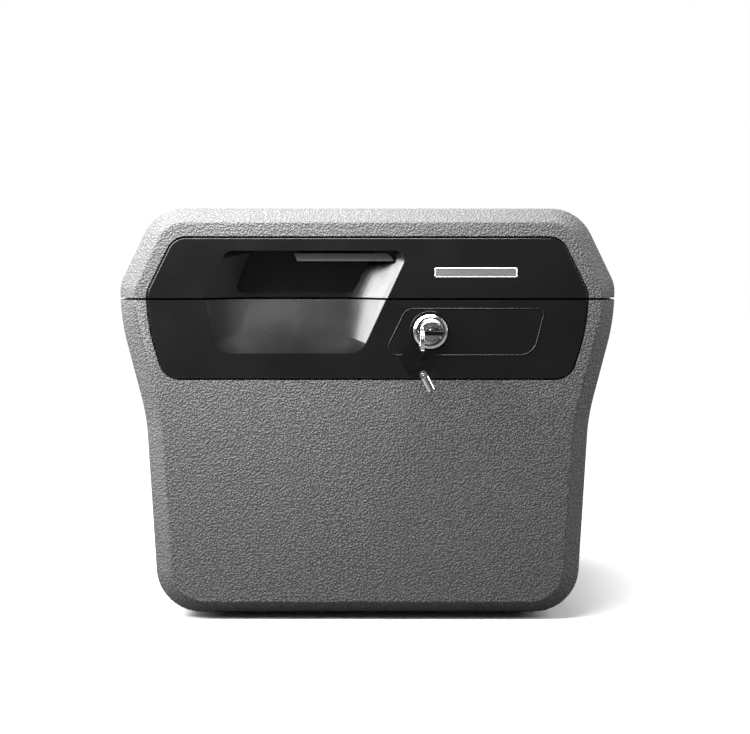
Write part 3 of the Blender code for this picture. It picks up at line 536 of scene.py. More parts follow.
def make_liner_grey():
    """Compartment moulding: matt grey with a fine leather-like mould texture and scuffs; the
    texture's crests are painted lighter as painted highlight and its crevices darker as painted
    shade.
    """
    f = Finish("liner_grey")
    height, painted_crest_light = f.grain(1500.0, 0.0004)
    scuffs = f.noise(60.0, 6.0, 0.7, (1.0, 1.0, 0.12))
    # Painted highlight and shade on the mould texture: crests painted lighter, crevices darker; the
    # scuffs are wear.
    colour = f.blend(f.between(scuffs, 0.0, 0.35, 0.58, 0.72), f.blend(painted_crest_light, 0.14, 0.18), 0.30)
    return f.done(colour, f.between(f.hands(12.0, 0.7), 0.44, 0.58), height, 0.00009, 0.7)


def make_cast_insulation():
    """Cast mineral fill: chalky and mottled, with pores whose hollows are painted darker as painted
    shade.
    """
    f = Finish("cast_insulation")
    pores = f.add("TexVoronoi", {"Vector": f.coords, "Scale": 260.0})
    lumps = f.noise(70.0, 8.0, 0.7)
    pits = f.between(pores, 0.0, 1.0, 0.05, 0.35)
    colour = f.blend(lumps, (0.42, 0.41, 0.37), (0.62, 0.6, 0.55))
    # Painted shade: the pores' hollows are painted darker, following the pit mask that also sinks
    # them in the bump.
    colour = f.blend(f.between(pits, 0.5, 0.0), colour, (0.25, 0.24, 0.21))
    height = f.add("Math", {0: lumps, 1: 0.8, 2: pits}, operation="MULTIPLY_ADD")
    return f.done(colour, f.between(lumps, 0.82, 0.97), height, 0.0008, 0.8)


def make_chrome():
    """Bright plating with fine handling scratches and slight haze."""
    f = Finish("chrome", Metallic=1.0)
    haze = f.hands(160.0, 0.5)
    scratches = f.noise(1400.0, 2.0, across=(0.15, 1.0, 1.0))
    return f.done(f.blend(haze, 0.82, 0.7), f.between(haze, 0.09, 0.19), scratches, 0.00001, 0.5)


def make_zinc_steel():
    """Zinc plated strip with pale spangles and drawn lines."""
    f = Finish("zinc_steel", Metallic=1.0)
    spangle = f.add("TexVoronoi", {"Vector": f.coords, "Scale": 320.0})
    drawn = f.noise(700.0, 3.0, across=(1.0, 0.06, 1.0))
    tone = f.add("RGBToBW", {0: spangle.outputs["Color"]})
    colour = f.blend(tone, (0.50, 0.51, 0.53), (0.64, 0.65, 0.66))
    return f.done(colour, f.between(tone, 0.28, 0.42), drawn, 0.00002, 0.6)


def make_black_steel():
    """Powder coated hinge steel with orange peel and bare metal rubbed at the knuckles."""
    f = Finish("black_steel")
    peel = f.noise(650.0, 2.0)
    colour = f.blend(f.between(f.group(RUB), 0.0, 0.6), f.blend(peel, 0.018, 0.034), 0.2)
    return f.done(colour, f.between(peel, 0.36, 0.5), peel, 0.00012, 0.6)


def make_latch_grey():
    """Grey glass-filled nylon, slightly mottled."""
    f = Finish("latch_grey")
    flow = f.noise(240.0, 5.0, 0.65, (0.3, 1.0, 1.0))
    roughness = f.between(f.hands(60.0, 0.5), 0.36, 0.48)
    return f.done(f.blend(flow, 0.07, 0.11), roughness, flow, 0.00004, 0.5)


def make_key_black():
    """Moulded key bow, glossier where it is handled."""
    f = Finish("key_black", Specular_IOR_Level=0.6)
    skin = f.noise(1800.0, 2.0)
    roughness = f.between(f.hands(120.0, 0.6), 0.13, 0.24)
    return f.done(f.blend(skin, 0.001, 0.003), roughness, skin, 0.00003, 0.6)


def make_plate_silver():
    """Nameplate foil, brushed along its length."""
    f = Finish("plate_silver", Metallic=1.0)
    brush = f.noise(2600.0, 3.0, 0.7, (0.02, 1.0, 1.0))
    return f.done(f.blend(brush, 0.62, 0.86), f.between(brush, 0.3, 0.46), brush, 0.00002, 0.5)


def make_seal_rubber():
    """Matt rubber with a bloom of talc."""
    f = Finish("seal_rubber")
    bloom, pits = f.hands(70.0, 0.5), f.noise(1300.0, 3.0)
    return f.done(f.blend(bloom, 0.020, 0.042), f.between(bloom, 0.62, 0.8), pits, 0.00006, 0.7)


FINISHES = {material.name.split(".")[0]: material for material in (
    make_grained_grey(), make_satin_black(), make_liner_grey(), make_cast_insulation(),
    make_chrome(), make_zinc_steel(), make_black_steel(), make_latch_grey(), make_key_black(),
    make_plate_silver(), make_seal_rubber())}


def finish_cad_nodes():
    """Every carried-over node gets the built finish of its own slot."""
    for node in frame["nodes"].values():
        for slot in node.material_slots:
            name = slot.material.name.split(".")[0]
            if name in FINISHES:
                slot.material = FINISHES[name]


# --- Casings ---

def chest(name, inward, front, back):
    """The chest's plain form, moved inwards from its sides, front and back."""
    outer = inset(outline(both_sides(OUTER)), inward)
    face = inset(outline(both_sides(FACE)), inward)
    rings = [upright(face, FRONT + front), upright(outer, FRONT + front + CHAMFER),
             upright(outer, BACK - back - CHAMFER), upright(face, BACK - back)]
    return loft(name, rings)


def soft_chest(name, low=None, high=None):
    """The chest's outside, with its two rows of chamfer edges rounded."""
    face, outer = outline(both_sides(FACE)), outline(both_sides(OUTER))
    profile = (softened((-0.10, 0.0), (0.0, 0.0), (0.13, 0.13 * CHAMFER)) +
               softened((0.84, 0.84 * CHAMFER), (1.0, CHAMFER), (1.0, CHAMFER + 2.6)))
    rings = []
    for share, depth in profile + [(share, DEPTH - depth) for share, depth in reversed(profile)]:
        points = [f + (o - f) * share for f, o in zip(face, outer)]
        rings.append(upright(points, FRONT + depth))
    return loft(name, rings, low, high)


def panel(name, inward, front, back):
    """The bezels' outline as a plate between two depths."""
    points = inset(outline(both_sides(PANEL)), inward)
    return loft(name, [upright(points, FRONT + front), upright(points, FRONT + back)])


def make_casing(name, body, low, high):
    casing = soft_chest(name + "_casing", low, high)
    cut(casing,
        chest(name + "_hollow", WALL, FRONT_WALL, WALL),
        panel(name + "_recess", -PANEL_GAP, -1.0, PANEL_THICK + GAP),
        panel(name + "_window", LEDGE, -1.0, FRONT_WALL + 2.0))
    fit(settle(casing, CASING_EDGE), body, "grained_grey", name + "_shell")


# --- Bezels ---

def scoop_depth(z):
    """How deep the scoop's floor lies at a height: a ramp that ends at the pocket's lower edge."""
    climb = min(z, POCKET[0][1]) - SCOOP_FOOT
    return SCOOP_DEPTH * max(0.0, climb) / (SEAM - SCOOP_FOOT)


def soft_least(a, b, blend):
    """The lesser of two numbers, rounded off where they are closer than the blend."""
    near = max(blend - abs(a - b), 0.0) / max(blend, 1e-6)
    return min(a, b) - near * near * blend / 4


def scoop_rings(lower, grow, start):
    """Rings from the scoop's rim to its floor, with its rim and its floor corner rounded."""
    if lower:
        rise = LAP_TOP - SCOOP_FOOT
        rim = [(SCOOP_LEFT + LEFT_SLOPE * rise, LAP_TOP, 0), (SCOOP_LEFT, SCOOP_FOOT, 16),
               (SCOOP_RIGHT, SCOOP_FOOT, 17), (SCOOP_RIGHT + RIGHT_SLOPE * rise, LAP_TOP, 0)]
    else:
        rim = [(SCOOP_RIGHT + RIGHT_SLOPE * (LAP_FOOT - SCOOP_FOOT), LAP_FOOT, 0),
               (36.7, SCOOP_HEAD, 8), (-121.3, SCOOP_HEAD, 12), (-141.5, LAP_FOOT, 0)]
    ground = LOWER_FLOOR if lower else UPPER_FLOOR
    rim_points = inset(outline(rim, 12), -grow)
    ground_points = inset(outline(ground, 12), -grow)
    rings = [upright(rim_points, FRONT + start)]
    if grow:
        return rings + [upright(ground_points, lambda z: FRONT + scoop_depth(z) + grow)]
    for share, wall in SCOOP_WALL:
        ring = []
        for r, g in zip(rim_points, ground_points):
            p = r + (g - r) * share
            full = scoop_depth(g.y)
            depth = soft_least(scoop_depth(p.y), wall * full, SCOOP_BLEND * full)
            ring.append((p.x, FRONT + max(0.0, depth), p.y))
        rings.append(ring)
    return rings


def soft_panel(name, low=None, high=None):
    """Bezel plate with a rounded front edge."""
    points = outline(both_sides(PANEL), 12)
    rings = [upright(inset(points, inward), FRONT + depth)
             for inward, depth in softened((PLATE_EDGE, 0.0), (0.0, 0.0), (0.0, PLATE_EDGE))]
    rings.append(upright(points, FRONT + PANEL_THICK))
    return loft(name, rings, low, high)


def snap_lug(name, x, z, up):
    """Moulded hook that catches behind the casing's ledge."""
    stem_z = (z - 2.1, z) if up else (z, z + 2.1)
    barb_z = (z - 1, z + 2.4) if up else (z - 2.4, z + 1)
    stem = block(name, x - LUG_HALF, x + LUG_HALF, FRONT + 3, FRONT + LUG_BACK, *stem_z)
    return join(stem, block(name + "_barb", x - LUG_HALF, x + LUG_HALF,
                            FRONT + FRONT_WALL + GAP + 0.1, FRONT + LUG_BACK + 0.4, *barb_z))


def make_lower_bezel():
    bezel = soft_panel("lower_bezel_moulding", high=BODY_TOP)
    lock = (LOCK_X, LOCK_Z)
    join(bezel, loft("lower_bowl", scoop_rings(True, BOWL_WALL, 3.0), high=BODY_TOP),
         rod("lock_boss", "Y", lock, BOSS_R, FRONT + 3, FRONT + FRONT_WALL))
    for i, x in enumerate(LOWER_LUGS):
        join(bezel, snap_lug(f"lower_lug_{i}", x, PANEL[0][1] + LEDGE + 0.5, False))
    groove = turned("lock_groove", "Y", lock, [
        (GROOVE_IN, FRONT - 1, 0), (GROOVE_OUT, FRONT - 1, 0),
        (GROOVE_OUT, FRONT + GROOVE_DEPTH, 0.3), (GROOVE_IN, FRONT + GROOVE_DEPTH, 0.3)], 64)
    cut(bezel, loft("lower_scoop", scoop_rings(True, 0.0, -2.0)), groove,
        rod("lock_hole", "Y", lock, LOCK_BODY_R + GAP, FRONT - 1, FRONT + 20))
    fit(settle(bezel, BEZEL_EDGE), "body", "satin_black", "lower_bezel")


def make_upper_bezel():
    bezel = soft_panel("upper_bezel_moulding", low=LID_BOTTOM)
    pocket = outline(POCKET, 8)
    outside = inset(pocket, -POCKET_WALL)
    join(bezel, loft("upper_bowl", scoop_rings(False, BOWL_WALL, 3.0), low=LID_BOTTOM),
         loft("pocket_outside", [upright(outside, FRONT + 3.5),
                                 upright(outside, FRONT + POCKET_DEPTH + POCKET_WALL)]))
    for i, x in enumerate(UPPER_LUGS):
        join(bezel, snap_lug(f"upper_lug_{i}", x, PANEL[3][1] - LEDGE - 0.5, True))
    for i, x in enumerate(EARS):
        join(bezel, block(f"ear_{i}", x, x + EAR_THICK, FRONT + POCKET_DEPTH + 0.6,
                          PIVOT_Y + 5, PIVOT_Z - 5, PIVOT_Z + 5))
    plate_hole = outline(node_front("nameplate", PLATE_PLAY, PLATE_CORNER), 4)
    cut(bezel,
        loft("upper_scoop", scoop_rings(False, 0.0, -2.0)),
        loft("pocket_inside", [upright(pocket, FRONT + PANEL_THICK + 0.6),
                               upright(pocket, FRONT + POCKET_DEPTH)]),
        block("lip_channel", LIP[0] - 3, LIP[1] + 0.9, FRONT + PANEL_THICK, FRONT + LIP_BACK + 1.8,
              LIP_LOW - 1.8, POCKET[1][1]),
        block("lever_slot", BARREL[0] - 1.5, BARREL[1] + 1.5, FRONT + POCKET_DEPTH - 3,
              FRONT + POCKET_DEPTH + 4, PIVOT_Z - 5.5, POCKET[1][1] - 1.0),
        rod("pin_hole", "X", (PIVOT_Y, PIVOT_Z), PIN_BORE, -70, 10, 24),
        loft("plate_recess", [upright(plate_hole, FRONT - 1),
                              upright(plate_hole, FRONT + PLATE_SEAT)]))
    fit(settle(bezel, BEZEL_EDGE), "lid", "satin_black", "upper_bezel")


def make_nameplate():
    """Blank brushed plate with rounded corners and a raised rim."""
    points = outline(node_front("nameplate", 0.0, PLATE_CORNER), 5)
    rings = [upright(inset(points, 1.1), FRONT - 0.28), upright(inset(points, 0.9), FRONT - 0.5),
             upright(inset(points, 0.35), FRONT - 0.5), upright(points, FRONT - 0.2),
             upright(points, FRONT + 0.3)]
    fit(settle(loft("nameplate_foil", rings)), "lid", "plate_silver", "nameplate")


# --- Latch ---

def make_latch():
    """Finger tab, plate, barrel, arm and hook of the spring latch."""
    tab = outline([(LIP[0] + 3, LIP_LOW, 0.8), (LIP[1], LIP_LOW, 0.5), (LIP[1] - 1.5, 312.0, 3.0),
                   (LIP[1] - 5.5, LIP_HIGH, 3.0), (LIP[0], LIP_HIGH, 0.8)], 5)
    rings = [upright(inset(tab, inward), FRONT + depth) for inward, depth in softened(
        (0.7, LIP_FRONT), (0.0, LIP_FRONT), (0.0, LIP_FRONT + 0.7))]
    lever = loft("latch_moulding", rings + [upright(tab, FRONT + LIP_BACK)])
    pivot = (PIVOT_Y, PIVOT_Z)
    barrel = turned("lever_barrel", "X", pivot, [
        (PIN_BORE, BARREL[0], 0), (BARREL_R, BARREL[0], 0), (BARREL_R, BARREL[1], 0),
        (PIN_BORE, BARREL[1], 0)], 32)
    join(lever,
         block("lever_plate", BARREL[0] + 2, BARREL[1] - 2, FRONT + LIP_BACK - 1, PIVOT_Y,
               LEVER_LOW, LEVER_TOP),
         barrel,
         block("lever_arm", *ARM, FRONT + ARM_FRONT, FRONT + ARM_BACK, HOOK_LOW, 311.0),
         block("lever_hook", ARM[0] + 1, ARM[1] - 1, FRONT + HOOK_FRONT, FRONT + HOOK_BACK,
               HOOK_LOW + 0.5, HOOK_HIGH))
    cut(lever, rod("barrel_bore", "X", pivot, PIN_BORE, -60, 0, 24))
    fit(settle(lever, BEZEL_EDGE), "latch", "latch_grey", "latch_lever")


# --- Lock and keys ---

def make_lock():
    """Chromed lock body with a dished collar, and the plug that turns in it."""
    centre, back = (LOCK_X, LOCK_Z), FRONT + LOCK_BACK
    collar = turned("lock_collar", "Y", centre, [
        (PLUG_R + GAP, FRONT - 1.2, 0.3), (11.2, FRONT - 2.9, 2.0), (12.5, FRONT - 3.2, 0.9),
        (FLANGE_R, FRONT - 1.7, 0.6), (FLANGE_R, FRONT - GAP, 0.2), (LOCK_BODY_R, FRONT - GAP, 0),
        (LOCK_BODY_R, back, 0.4), (PLUG_R + GAP, back, 0.2)], 96, 6)
    fit(settle(collar), "body", "chrome", "lock_housing")
    plug = turned("plug_face", "Y", centre, [
        (0, FRONT - 0.6, 0), (2.3, FRONT - 0.6, 0.3), (2.3, FRONT + 8.6, 0), (4.1, FRONT + 8.6, 0),
        (4.1, FRONT - 0.6, 0.3), (PLUG_R, FRONT - 0.6, 0.4), (PLUG_R, back + 0.7, 0.3),
        (4.0, back + 0.7, 0), (4.0, back + 3.7, 0.3), (0, back + 3.7, 0)], 64)
    fit(settle(plug), "plug", "chrome", "lock_plug")


def flat_prism(name, corners, low, high, steps=6):
    points = outline(corners, steps)
    return loft(name, [level(points, low), level(points, high)])


def key_bow(name):
    """Moulded bow, drawn flat: v across, u along the key."""
    half = BOW_THICK / 2
    bow = flat_prism(name, oblong(-BOW_HALF, BOW_HALF, BOW_HIGH, BOW_LOW, 3.5, 8), -half, half, 8)
    join(bow, flat_prism(name + "_bar", oblong(-8, 4.6, -2.4, -6.2, 1), half - 0.5, half + 0.5, 4))
    slot = oblong(SLOT_V - SLOT_R, SLOT_V + SLOT_R, SLOT_HIGH, SLOT_LOW, 2.19)
    cut(bow, flat_prism(name + "_slot", slot, -3, 3, 8),
        flat_prism(name + "_notch", oblong(-3.5, 3.5, -9.0, -18, 3.4, 0), -3, 3, 8),
        flat_prism(name + "_tang_slot", oblong(-2.8, 2.8, -1.6, -12), -0.85, 0.85))
    return settle(bow, 0.4)


def key_stem(name):
    """Tubular key stem with its paddle, rivet and a slot milled into each side."""
    stem = rod(name, "Y", (0, 0), 3.7, KEY_TIP, KEY_SHOULDER, 40)
    paddle = oblong(-3.1, 3.1, -9.4, KEY_SHOULDER - 0.6, 3.0, 0)
    join(stem, flat_prism(name + "_paddle", paddle, -1.7, 1.7, 8),
         flat_prism(name + "_tang", oblong(-2.4, 2.4, -2.0, -11), -0.5, 0.5),
         turned(name + "_rivet", "Z", (0, -11.9), [(0, -2.1, 0), (1.1, -2.1, 0.3),
                                                   (1.1, 2.1, 0.3), (0, 2.1, 0)], 20))
    cut(stem, rod(name + "_bore", "Y", (0, 0), 2.7, KEY_TIP - 1, KEY_TIP + 9.0, 32))
    for side, low, high in (("front", 1.2, 5.0), ("back", -5.0, -1.2)):
        groove = oblong(-0.7, 0.7, -25.6, -16.4, 0.6)
        cut(stem, flat_prism(f"{name}_groove_{side}", groove, low, high, 4))
    return settle(stem, 0.2)


def place_flat(obj, origin, v, u):
    """Turn a piece drawn flat into its place on the box."""
    turn = Matrix((v, u, v.cross(u))).transposed().to_4x4()
    obj.data.transform(Matrix.Translation(Vector(origin) * MM) @ turn)
    return obj


def make_keys():
    across, along = Vector((-1, 0, 0)), Vector((0, -1, 0))
    in_lock = (LOCK_X, FRONT + KEY_INSIDE + KEY_TIP, LOCK_Z)
    hang_v = Vector((math.cos(SPARE_TILT), 0, math.sin(SPARE_TILT)))
    hang_u = Vector((-math.sin(SPARE_TILT), 0, math.cos(SPARE_TILT)))
    wire = Vector((RING_X, RING_Y, WIRE_Z - HANG_SLACK))
    hang = wire - hang_v * SLOT_V - hang_u * (SLOT_HIGH - SLOT_R)
    for prefix, body, origin, v, u in (("key", "plug", in_lock, across, along),
                                       ("spare_key", "spare_key", hang, hang_v, hang_u)):
        fit(place_flat(key_bow(prefix + "_grip"), origin, v, u), body, "key_black", prefix + "_bow")
        fit(place_flat(key_stem(prefix + "_stem"), origin, v, u), body, "chrome",
            prefix + "_barrel")


# --- Geometry Nodes ---

def geometry_group(name, *inputs):
    """Empty tree that takes and gives a geometry, with named inputs and a finish."""
    return new_group("GeometryNodeTree", name, [("Geometry", "Geometry"), *inputs,
                                                ("Finish", "Material")], [("Geometry", "Geometry")])


def end_tree(tree, given, out, geometry):
    """Realize the instances and set the material, as the last two steps."""
    real = add_node(tree, "GeometryNodeRealizeInstances", {0: geometry})
    painted = add_node(tree, "GeometryNodeSetMaterial",
                       {"Geometry": real, "Material": given["Finish"]})
    connect(tree, out["Geometry"], painted)
    return tree


def grow(name, tree, base, finish, **values):
    """Run a tree on a base mesh and keep the result as a plain mesh object."""
    obj = new_object(name, base)
    modifier = obj.modifiers.new(tree.name, "NODES")
    modifier.node_group = tree
    ids = {item.name: item.identifier for item in tree.interface.items_tree
           if item.in_out == "INPUT"}
    modifier[ids["Finish"]] = finish
    for label, value in values.items():
        modifier[ids[label.replace("_", " ")]] = value
    keep_result(obj)
    shade(obj)
    return obj


def base_mesh(name, points, edges=()):
    mesh = bpy.data.meshes.new(name + "_base")
    mesh.from_pydata([Vector(p) * MM for p in points], list(edges), [])
    return mesh


def closed_path(name, points):
    return base_mesh(name, points, [(i, (i + 1) % len(points)) for i in range(len(points))])


def make_bead_tree():
    """A rounded bead swept along a closed path."""
    tree, add, given, out = geometry_group("swept_bead", ("Width", "Float", 0.0007),
                                           ("Height", "Float", 0.0005))
    path = add("GeometryNodeMeshToCurve", {0: given["Geometry"]})
    circle = add("GeometryNodeCurvePrimitiveCircle", {"Resolution": 14, "Radius": 0.5})
    size = add("CombineXYZ", {"X": given["Width"], "Y": given["Height"], "Z": 1.0})
    section = add("GeometryNodeTransform", {"Geometry": circle, "Scale": size})
    swept = add("GeometryNodeCurveToMesh", {"Curve": path, "Profile Curve": section})
    return end_tree(tree, given, out, swept)


def make_ring_tree():
    """Split ring: two flat turns side by side with one crossing between them."""
    tree, add, given, out = geometry_group(
        "split_ring", ("Mean radius", "Float", 0.00925), ("Wire depth", "Float", 0.0015),
        ("Wire width", "Float", 0.0016))
    radius, width = given["Mean radius"], given["Wire width"]
    coil = add("GeometryNodeCurveSpiral", {"Resolution": 72, "Rotations": 1.97, "Height": 0.0,
                                           "Start Radius": radius, "End Radius": radius})
    along = add("GeometryNodeSplineParameter")
    shift = add("MapRange", {"Value": along, "From Min": 0.44, "From Max": 0.56,
                             "To Min": -0.5, "To Max": 0.5},
                interpolation_type="SMOOTHSTEP")
    step = add("Math", {0: shift, 1: width}, operation="MULTIPLY")
    offset = add("CombineXYZ", {"Z": step})
    moved = add("GeometryNodeSetPosition", {"Geometry": coil, "Offset": offset})
    flat = add("GeometryNodeSetCurveNormal", {"Curve": moved}, mode="Z_UP")
    section = add("GeometryNodeCurvePrimitiveQuadrilateral", {"Width": given["Wire depth"],
                                                              "Height": width})
    corners = add("GeometryNodeFilletCurve", {"Curve": section, "Count": 4, "Radius": 0.0004},
                  mode="POLY")
    swept = add("GeometryNodeCurveToMesh", {"Curve": flat, "Profile Curve": corners,
                                            "Fill Caps": True})
    return end_tree(tree, given, out, swept)


def make_screw_tree():
    """Cross-recess pan head screws on points, heads facing +Z before they are turned."""
    tree, add, given, out = geometry_group(
        "pan_head_screws", ("Head radius", "Float", 0.0032), ("Head height", "Float", 0.0016),
        ("Shank radius", "Float", 0.0015), ("Shank length", "Float", 0.004),
        ("Facing", "Rotation"))
    radius, height, length = given["Head radius"], given["Head height"], given["Shank length"]

    def times(value, factor):
        return add("Math", {0: value, 1: factor}, operation="MULTIPLY")

    ball = add("GeometryNodeMeshUVSphere", {"Segments": 32, "Rings": 16, "Radius": 1.0})
    dome_size = add("CombineXYZ", {"X": radius, "Y": radius, "Z": height})
    dome = add("GeometryNodeTransform", {"Geometry": ball, "Scale": dome_size})
    below = add("GeometryNodeMeshCube", {"Size": (0.02, 0.02, 0.02)})
    cutters = [add("GeometryNodeTransform", {"Geometry": below, "Translation": (0, 0, -0.01)})]
    wing_long, wing_thin = times(radius, 1.15), times(radius, 0.24)
    for a, b in ((wing_long, wing_thin), (wing_thin, wing_long)):
        wing = add("GeometryNodeMeshCube", {
            "Size": add("CombineXYZ", {"X": a, "Y": b, "Z": height})})
        lift = add("CombineXYZ", {"Z": height})
        cutters.append(add("GeometryNodeTransform", {"Geometry": wing, "Translation": lift}))
    head = add("GeometryNodeMeshBoolean", {0: dome}, operation="DIFFERENCE", solver="EXACT")
    for cutter in cutters:
        connect(tree, head.inputs[1], cutter)
    shank = add("GeometryNodeMeshCylinder", {"Vertices": 20, "Radius": given["Shank radius"],
                                             "Depth": length})
    sink = add("CombineXYZ", {"Z": times(length, -0.5)})
    sunk = add("GeometryNodeTransform", {"Geometry": shank, "Translation": sink})
    whole = add("GeometryNodeJoinGeometry")
    for part in (head, sunk):
        connect(tree, whole.inputs[0], part)
    placed = add("GeometryNodeInstanceOnPoints", {"Points": given["Geometry"], "Instance": whole,
                                                  "Rotation": given["Facing"]})
    return end_tree(tree, given, out, placed)


BEAD_TREE, RING_TREE, SCREW_TREE = make_bead_tree(), make_ring_tree(), make_screw_tree()


def make_key_ring():
    """The ring stands in the YZ plane, through both keys' slots."""
    ring = grow("split_ring", RING_TREE, base_mesh("split_ring", [(0, 0, 0)]), FINISHES["chrome"],
                Mean_radius=(RING_IN + RING_OUT) / 2 * MM, Wire_depth=(RING_OUT - RING_IN) * MM,
                Wire_width=RING_HALF_WIDTH * MM)
    stand = Matrix.Translation(Vector((RING_X, RING_Y, RING_Z)) * MM) @ Matrix.Rotation(
        math.radians(90), 4, "Y")
    ring.data.transform(stand)
    fit(ring, "ring", "chrome", "key_ring")


def make_lock_field():
    """Fine moulded lines on the lower bezel: a slanted field and a ring round the lock."""
    around = [Vector((LOCK_X + HALO_R * math.cos(a), LOCK_Z + HALO_R * math.sin(a)))
              for a in (2 * math.pi * i / 96 for i in range(96))]
    for name, points, width, height in (
            ("lock_field_line", outline(FIELD, 12), 0.0009, 0.0009),
            ("lock_ring_line", around, 0.0007, 0.0006)):
        line = grow(name, BEAD_TREE, closed_path(name, upright(points, FRONT)),
                    FINISHES["satin_black"], Width=width, Height=height)
        fit(line, "body", "satin_black")


def make_gasket():
    """Hollow-bulb seal in the lid's groove."""
    low, high = node_box("gasket")
    x, y0, y1 = high.x - BULB_HALF, low.y + BULB_HALF, high.y - BULB_HALF
    middle = outline([(x, y0, GASKET_CORNER), (x, y1, GASKET_CORNER), (-x, y1, GASKET_CORNER),
                      (-x, y0, GASKET_CORNER)], 16)
    path = closed_path("bulb_seal", level(middle, (low.z + high.z) / 2))
    seal = grow("bulb_seal", BEAD_TREE, path, FINISHES["seal_rubber"],
                Width=2 * BULB_HALF * MM, Height=(high.z - low.z) * MM)
    fit(seal, "lid", "seal_rubber", "gasket")


# --- Hinges and feet ---

def hinge_leaf(name, x, up, tabs):
    """Leaf plate with rounded corners, knuckles on the given stretches and screw holes."""
    z0, z1 = SEAM + LEAF_CLEAR, SEAM + LEAF_CLEAR + LEAF_HEIGHT
    if not up:
        z0, z1 = SEAM - LEAF_CLEAR - LEAF_HEIGHT, SEAM - LEAF_CLEAR
    near, far = BACK + LEAF_NEAR, BACK + LEAF_FAR
    soft = (1.0, 3.5) if up else (3.5, 1.0)
    plate = outline(oblong(x - LEAF_HALF, x + LEAF_HALF, z0, z1, *soft), 6)
    leaf = loft(name, [upright(plate, near), upright(plate, far)])
    for i, (a, b) in enumerate(tabs):
        tab_z = (SEAM - 0.5, z0 + 2) if up else (z1 - 2, SEAM + 0.5)
        join(leaf, block(f"{name}_tab_{i}", x + a, x + b, near + 0.01, far - 0.01, *tab_z),
             rod(f"{name}_knuckle_{i}", "X", (HINGE_Y, SEAM), KNUCKLE_R, x + a + 0.01,
                 x + b - 0.01, 36))
    cut(leaf, rod(name + "_bore", "X", (HINGE_Y, SEAM), PIN_BORE, x - HALF_BORE, x + HALF_BORE, 24))
    return settle(leaf, CASING_EDGE), (z0 + z1) / 2


def make_hinges():
    inner = (-LEAF_HALF + TAB + 0.4, LEAF_HALF - TAB - 0.4)
    ends = [(-LEAF_HALF, -LEAF_HALF + TAB), (LEAF_HALF - TAB, LEAF_HALF)]
    facing = Matrix.Rotation(math.radians(-90), 3, "X").to_euler()
    for x, side in ((-HINGE_X, "left"), (HINGE_X, "right")):
        for part, body, up, tabs in (("body", "body", False, ends), ("lid", "lid", True, [inner])):
            leaf, middle = hinge_leaf(f"{part}_leaf_{side}", x, up, tabs)
            fit(leaf, body, "black_steel", f"hinge_{part}_leaf_{side}")
            spots = [(x + end * SCREW_SPREAD, BACK + LEAF_FAR + 0.2, middle) for end in (-1, 1)]
            name = f"{part}_hinge_screws_{side}"
            screws = grow(name, SCREW_TREE, base_mesh(name, spots), FINISHES["black_steel"],
                          Facing=facing, Shank_length=0.0042)
            fit(screws, body, "black_steel", f"hinge_{part}_screw_{side}_a",
                f"hinge_{part}_screw_{side}_b")
        head, tail = x - LEAF_HALF - 1.8, x + LEAF_HALF + 1.0
        pin = turned(f"hinge_pin_turned_{side}", "X", (HINGE_Y, SEAM), [
            (0, head, 0), (PIN_HEAD_R, head, 0.8), (PIN_HEAD_R, head + 1.4, 0.2),
            (PIN_R, head + 1.4, 0), (PIN_R, tail, 0.5), (0, tail, 0)], 32)
        fit(settle(pin), "body", "zinc_steel", f"hinge_pin_{side}")


def make_feet():
    """Rubber feet with a pressed stem, a rounded sole and a moulded ring groove."""
    for end in ("front", "rear"):
        for side in ("left", "right"):
            node = f"foot_{end}_{side}"
            low, high = node_box(node)
            centre = ((low.x + high.x) / 2, (low.y + high.y) / 2)
            top = OUTER[0][1] - GAP
            foot = turned(f"rubber_{node}", "Z", centre, [
                (0, 0.8, 0), (7.0, 0.8, 0.3), (7.4, 0.0, 0.3), (11.0, 0.0, 0.9), (12.5, top, 0.5),
                (3.0, top, 0), (3.0, high.z, 0.4), (0, high.z, 0)], 48)
            fit(settle(foot), "body", "seal_rubber", node)


# --- Inside ---

def make_file_rails():
    """Rails for hanging folders: rolled top edge on a bent strip."""
    for side in ("left", "right"):
        low, high = node_box(f"file_rail_{side}")
        section = outline(node_front(f"file_rail_{side}", 0.0, 0.3, 0.75), 5)
        rings = [upright(inset(section, 0.3), low.y), upright(section, low.y + 0.4),
                 upright(section, high.y - 0.4), upright(inset(section, 0.3), high.y)]
        rail = settle(loft(f"folder_rail_{side}", rings))
        fit(rail, "body", "zinc_steel", f"file_rail_{side}")


# --- Stage ---

def two_tones(tree, seen, bounced):
    """One grey for the camera and another for everything that the light bounces off."""
    path = add_node(tree, "LightPath")
    return add_node(tree, "Mix", {
        0: path.outputs["Is Camera Ray"], 6: (bounced,) * 3 + (1,), 7: (seen,) * 3 + (1,)},
        data_type="RGBA").outputs[2]


def make_stage():
    """Pale floor; seen darker by bounced light so that it doesn't fill the box's underside."""
    bm = bmesh.new()
    bmesh.ops.create_circle(bm, cap_ends=True, segments=96, radius=9.0)
    floor = make_object("floor", bm)
    made = bpy.data.materials.new("pale_floor")
    made.use_nodes = True
    shader = made.node_tree.nodes["Principled BSDF"]
    shader.inputs["Roughness"].default_value = 0.9
    connect(made.node_tree, shader.inputs["Base Color"], two_tones(made.node_tree, 0.97, 0.14))
    floor.data.materials.append(made)


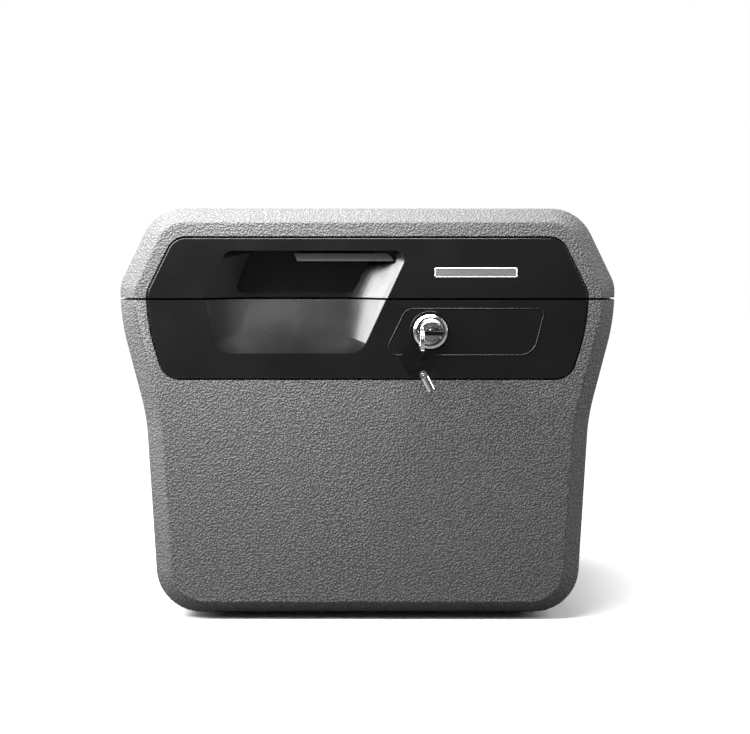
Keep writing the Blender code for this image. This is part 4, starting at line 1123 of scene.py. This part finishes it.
def aim(obj, target):
    obj.rotation_euler = (Vector(target) - obj.location).to_track_quat("-Z", "Y").to_euler()


def add_light(name, place, target, energy, size=None, angle=0.0):
    """Rectangular light of a size in metres, or else a sun of an angle."""
    data = bpy.data.lights.new(name, "AREA" if size else "SUN")
    data.energy = energy
    if size:
        data.shape = "RECTANGLE"
        data.size, data.size_y = size
    else:
        data.angle = angle
    light = new_object(name, data)
    light.location = place
    aim(light, target)


def make_lights():
    add_light("overhead_sun", (-0.4, 0.9, 3.2), (0, 0, 0), 3.2, angle=math.radians(34))
    add_light("top_box", (-0.14, -0.275, 0.57), (-0.14, -0.155, 0.33), 6.0, (0.6, 0.12))
    add_light("left_box", (-0.56, -0.35, 0.58), (0.0, -0.14, 0.28), 9.5, (0.30, 0.45))
    add_light("left_strip", (-1.00, -0.16, 0.56), (0.0, -0.1, 0.25), 7.0, (0.3, 0.8))
    add_light("right_strip", (0.94, -0.17, 0.61), (0.1, -0.1, 0.25), 7.0, (0.3, 0.8))
    world = bpy.data.worlds.new("studio")
    bpy.context.scene.world = world
    world.use_nodes = True
    tree = world.node_tree
    connect(tree, tree.nodes["Background"].inputs["Color"], two_tones(tree, 1.0, 0.10))


def make_camera():
    """Level with the lid, a little to the right of the middle, looking slightly down."""
    distance, height, aim_height, across = 1.5, 0.340, 0.2188, 0.0064
    data = bpy.data.cameras.new("camera")
    data.sensor_width, data.lens = 36.0, 85.0
    camera = new_object("camera", data)
    camera.location = (across, FRONT * MM - distance, height)
    aim(camera, (across, FRONT * MM, aim_height))
    bpy.context.scene.camera = camera


# --- Whole box ---

def main():
    finish_cad_nodes()
    make_casing("body", "body", None, BODY_TOP)
    make_casing("lid", "lid", LID_BOTTOM, None)
    for make in (make_lower_bezel, make_upper_bezel, make_nameplate, make_latch, make_lock,
                 make_keys, make_key_ring, make_lock_field, make_gasket, make_hinges, make_feet,
                 make_file_rails, make_stage, make_lights, make_camera):
        make()
    bpy.context.scene.view_settings.view_transform = "Standard"


main()
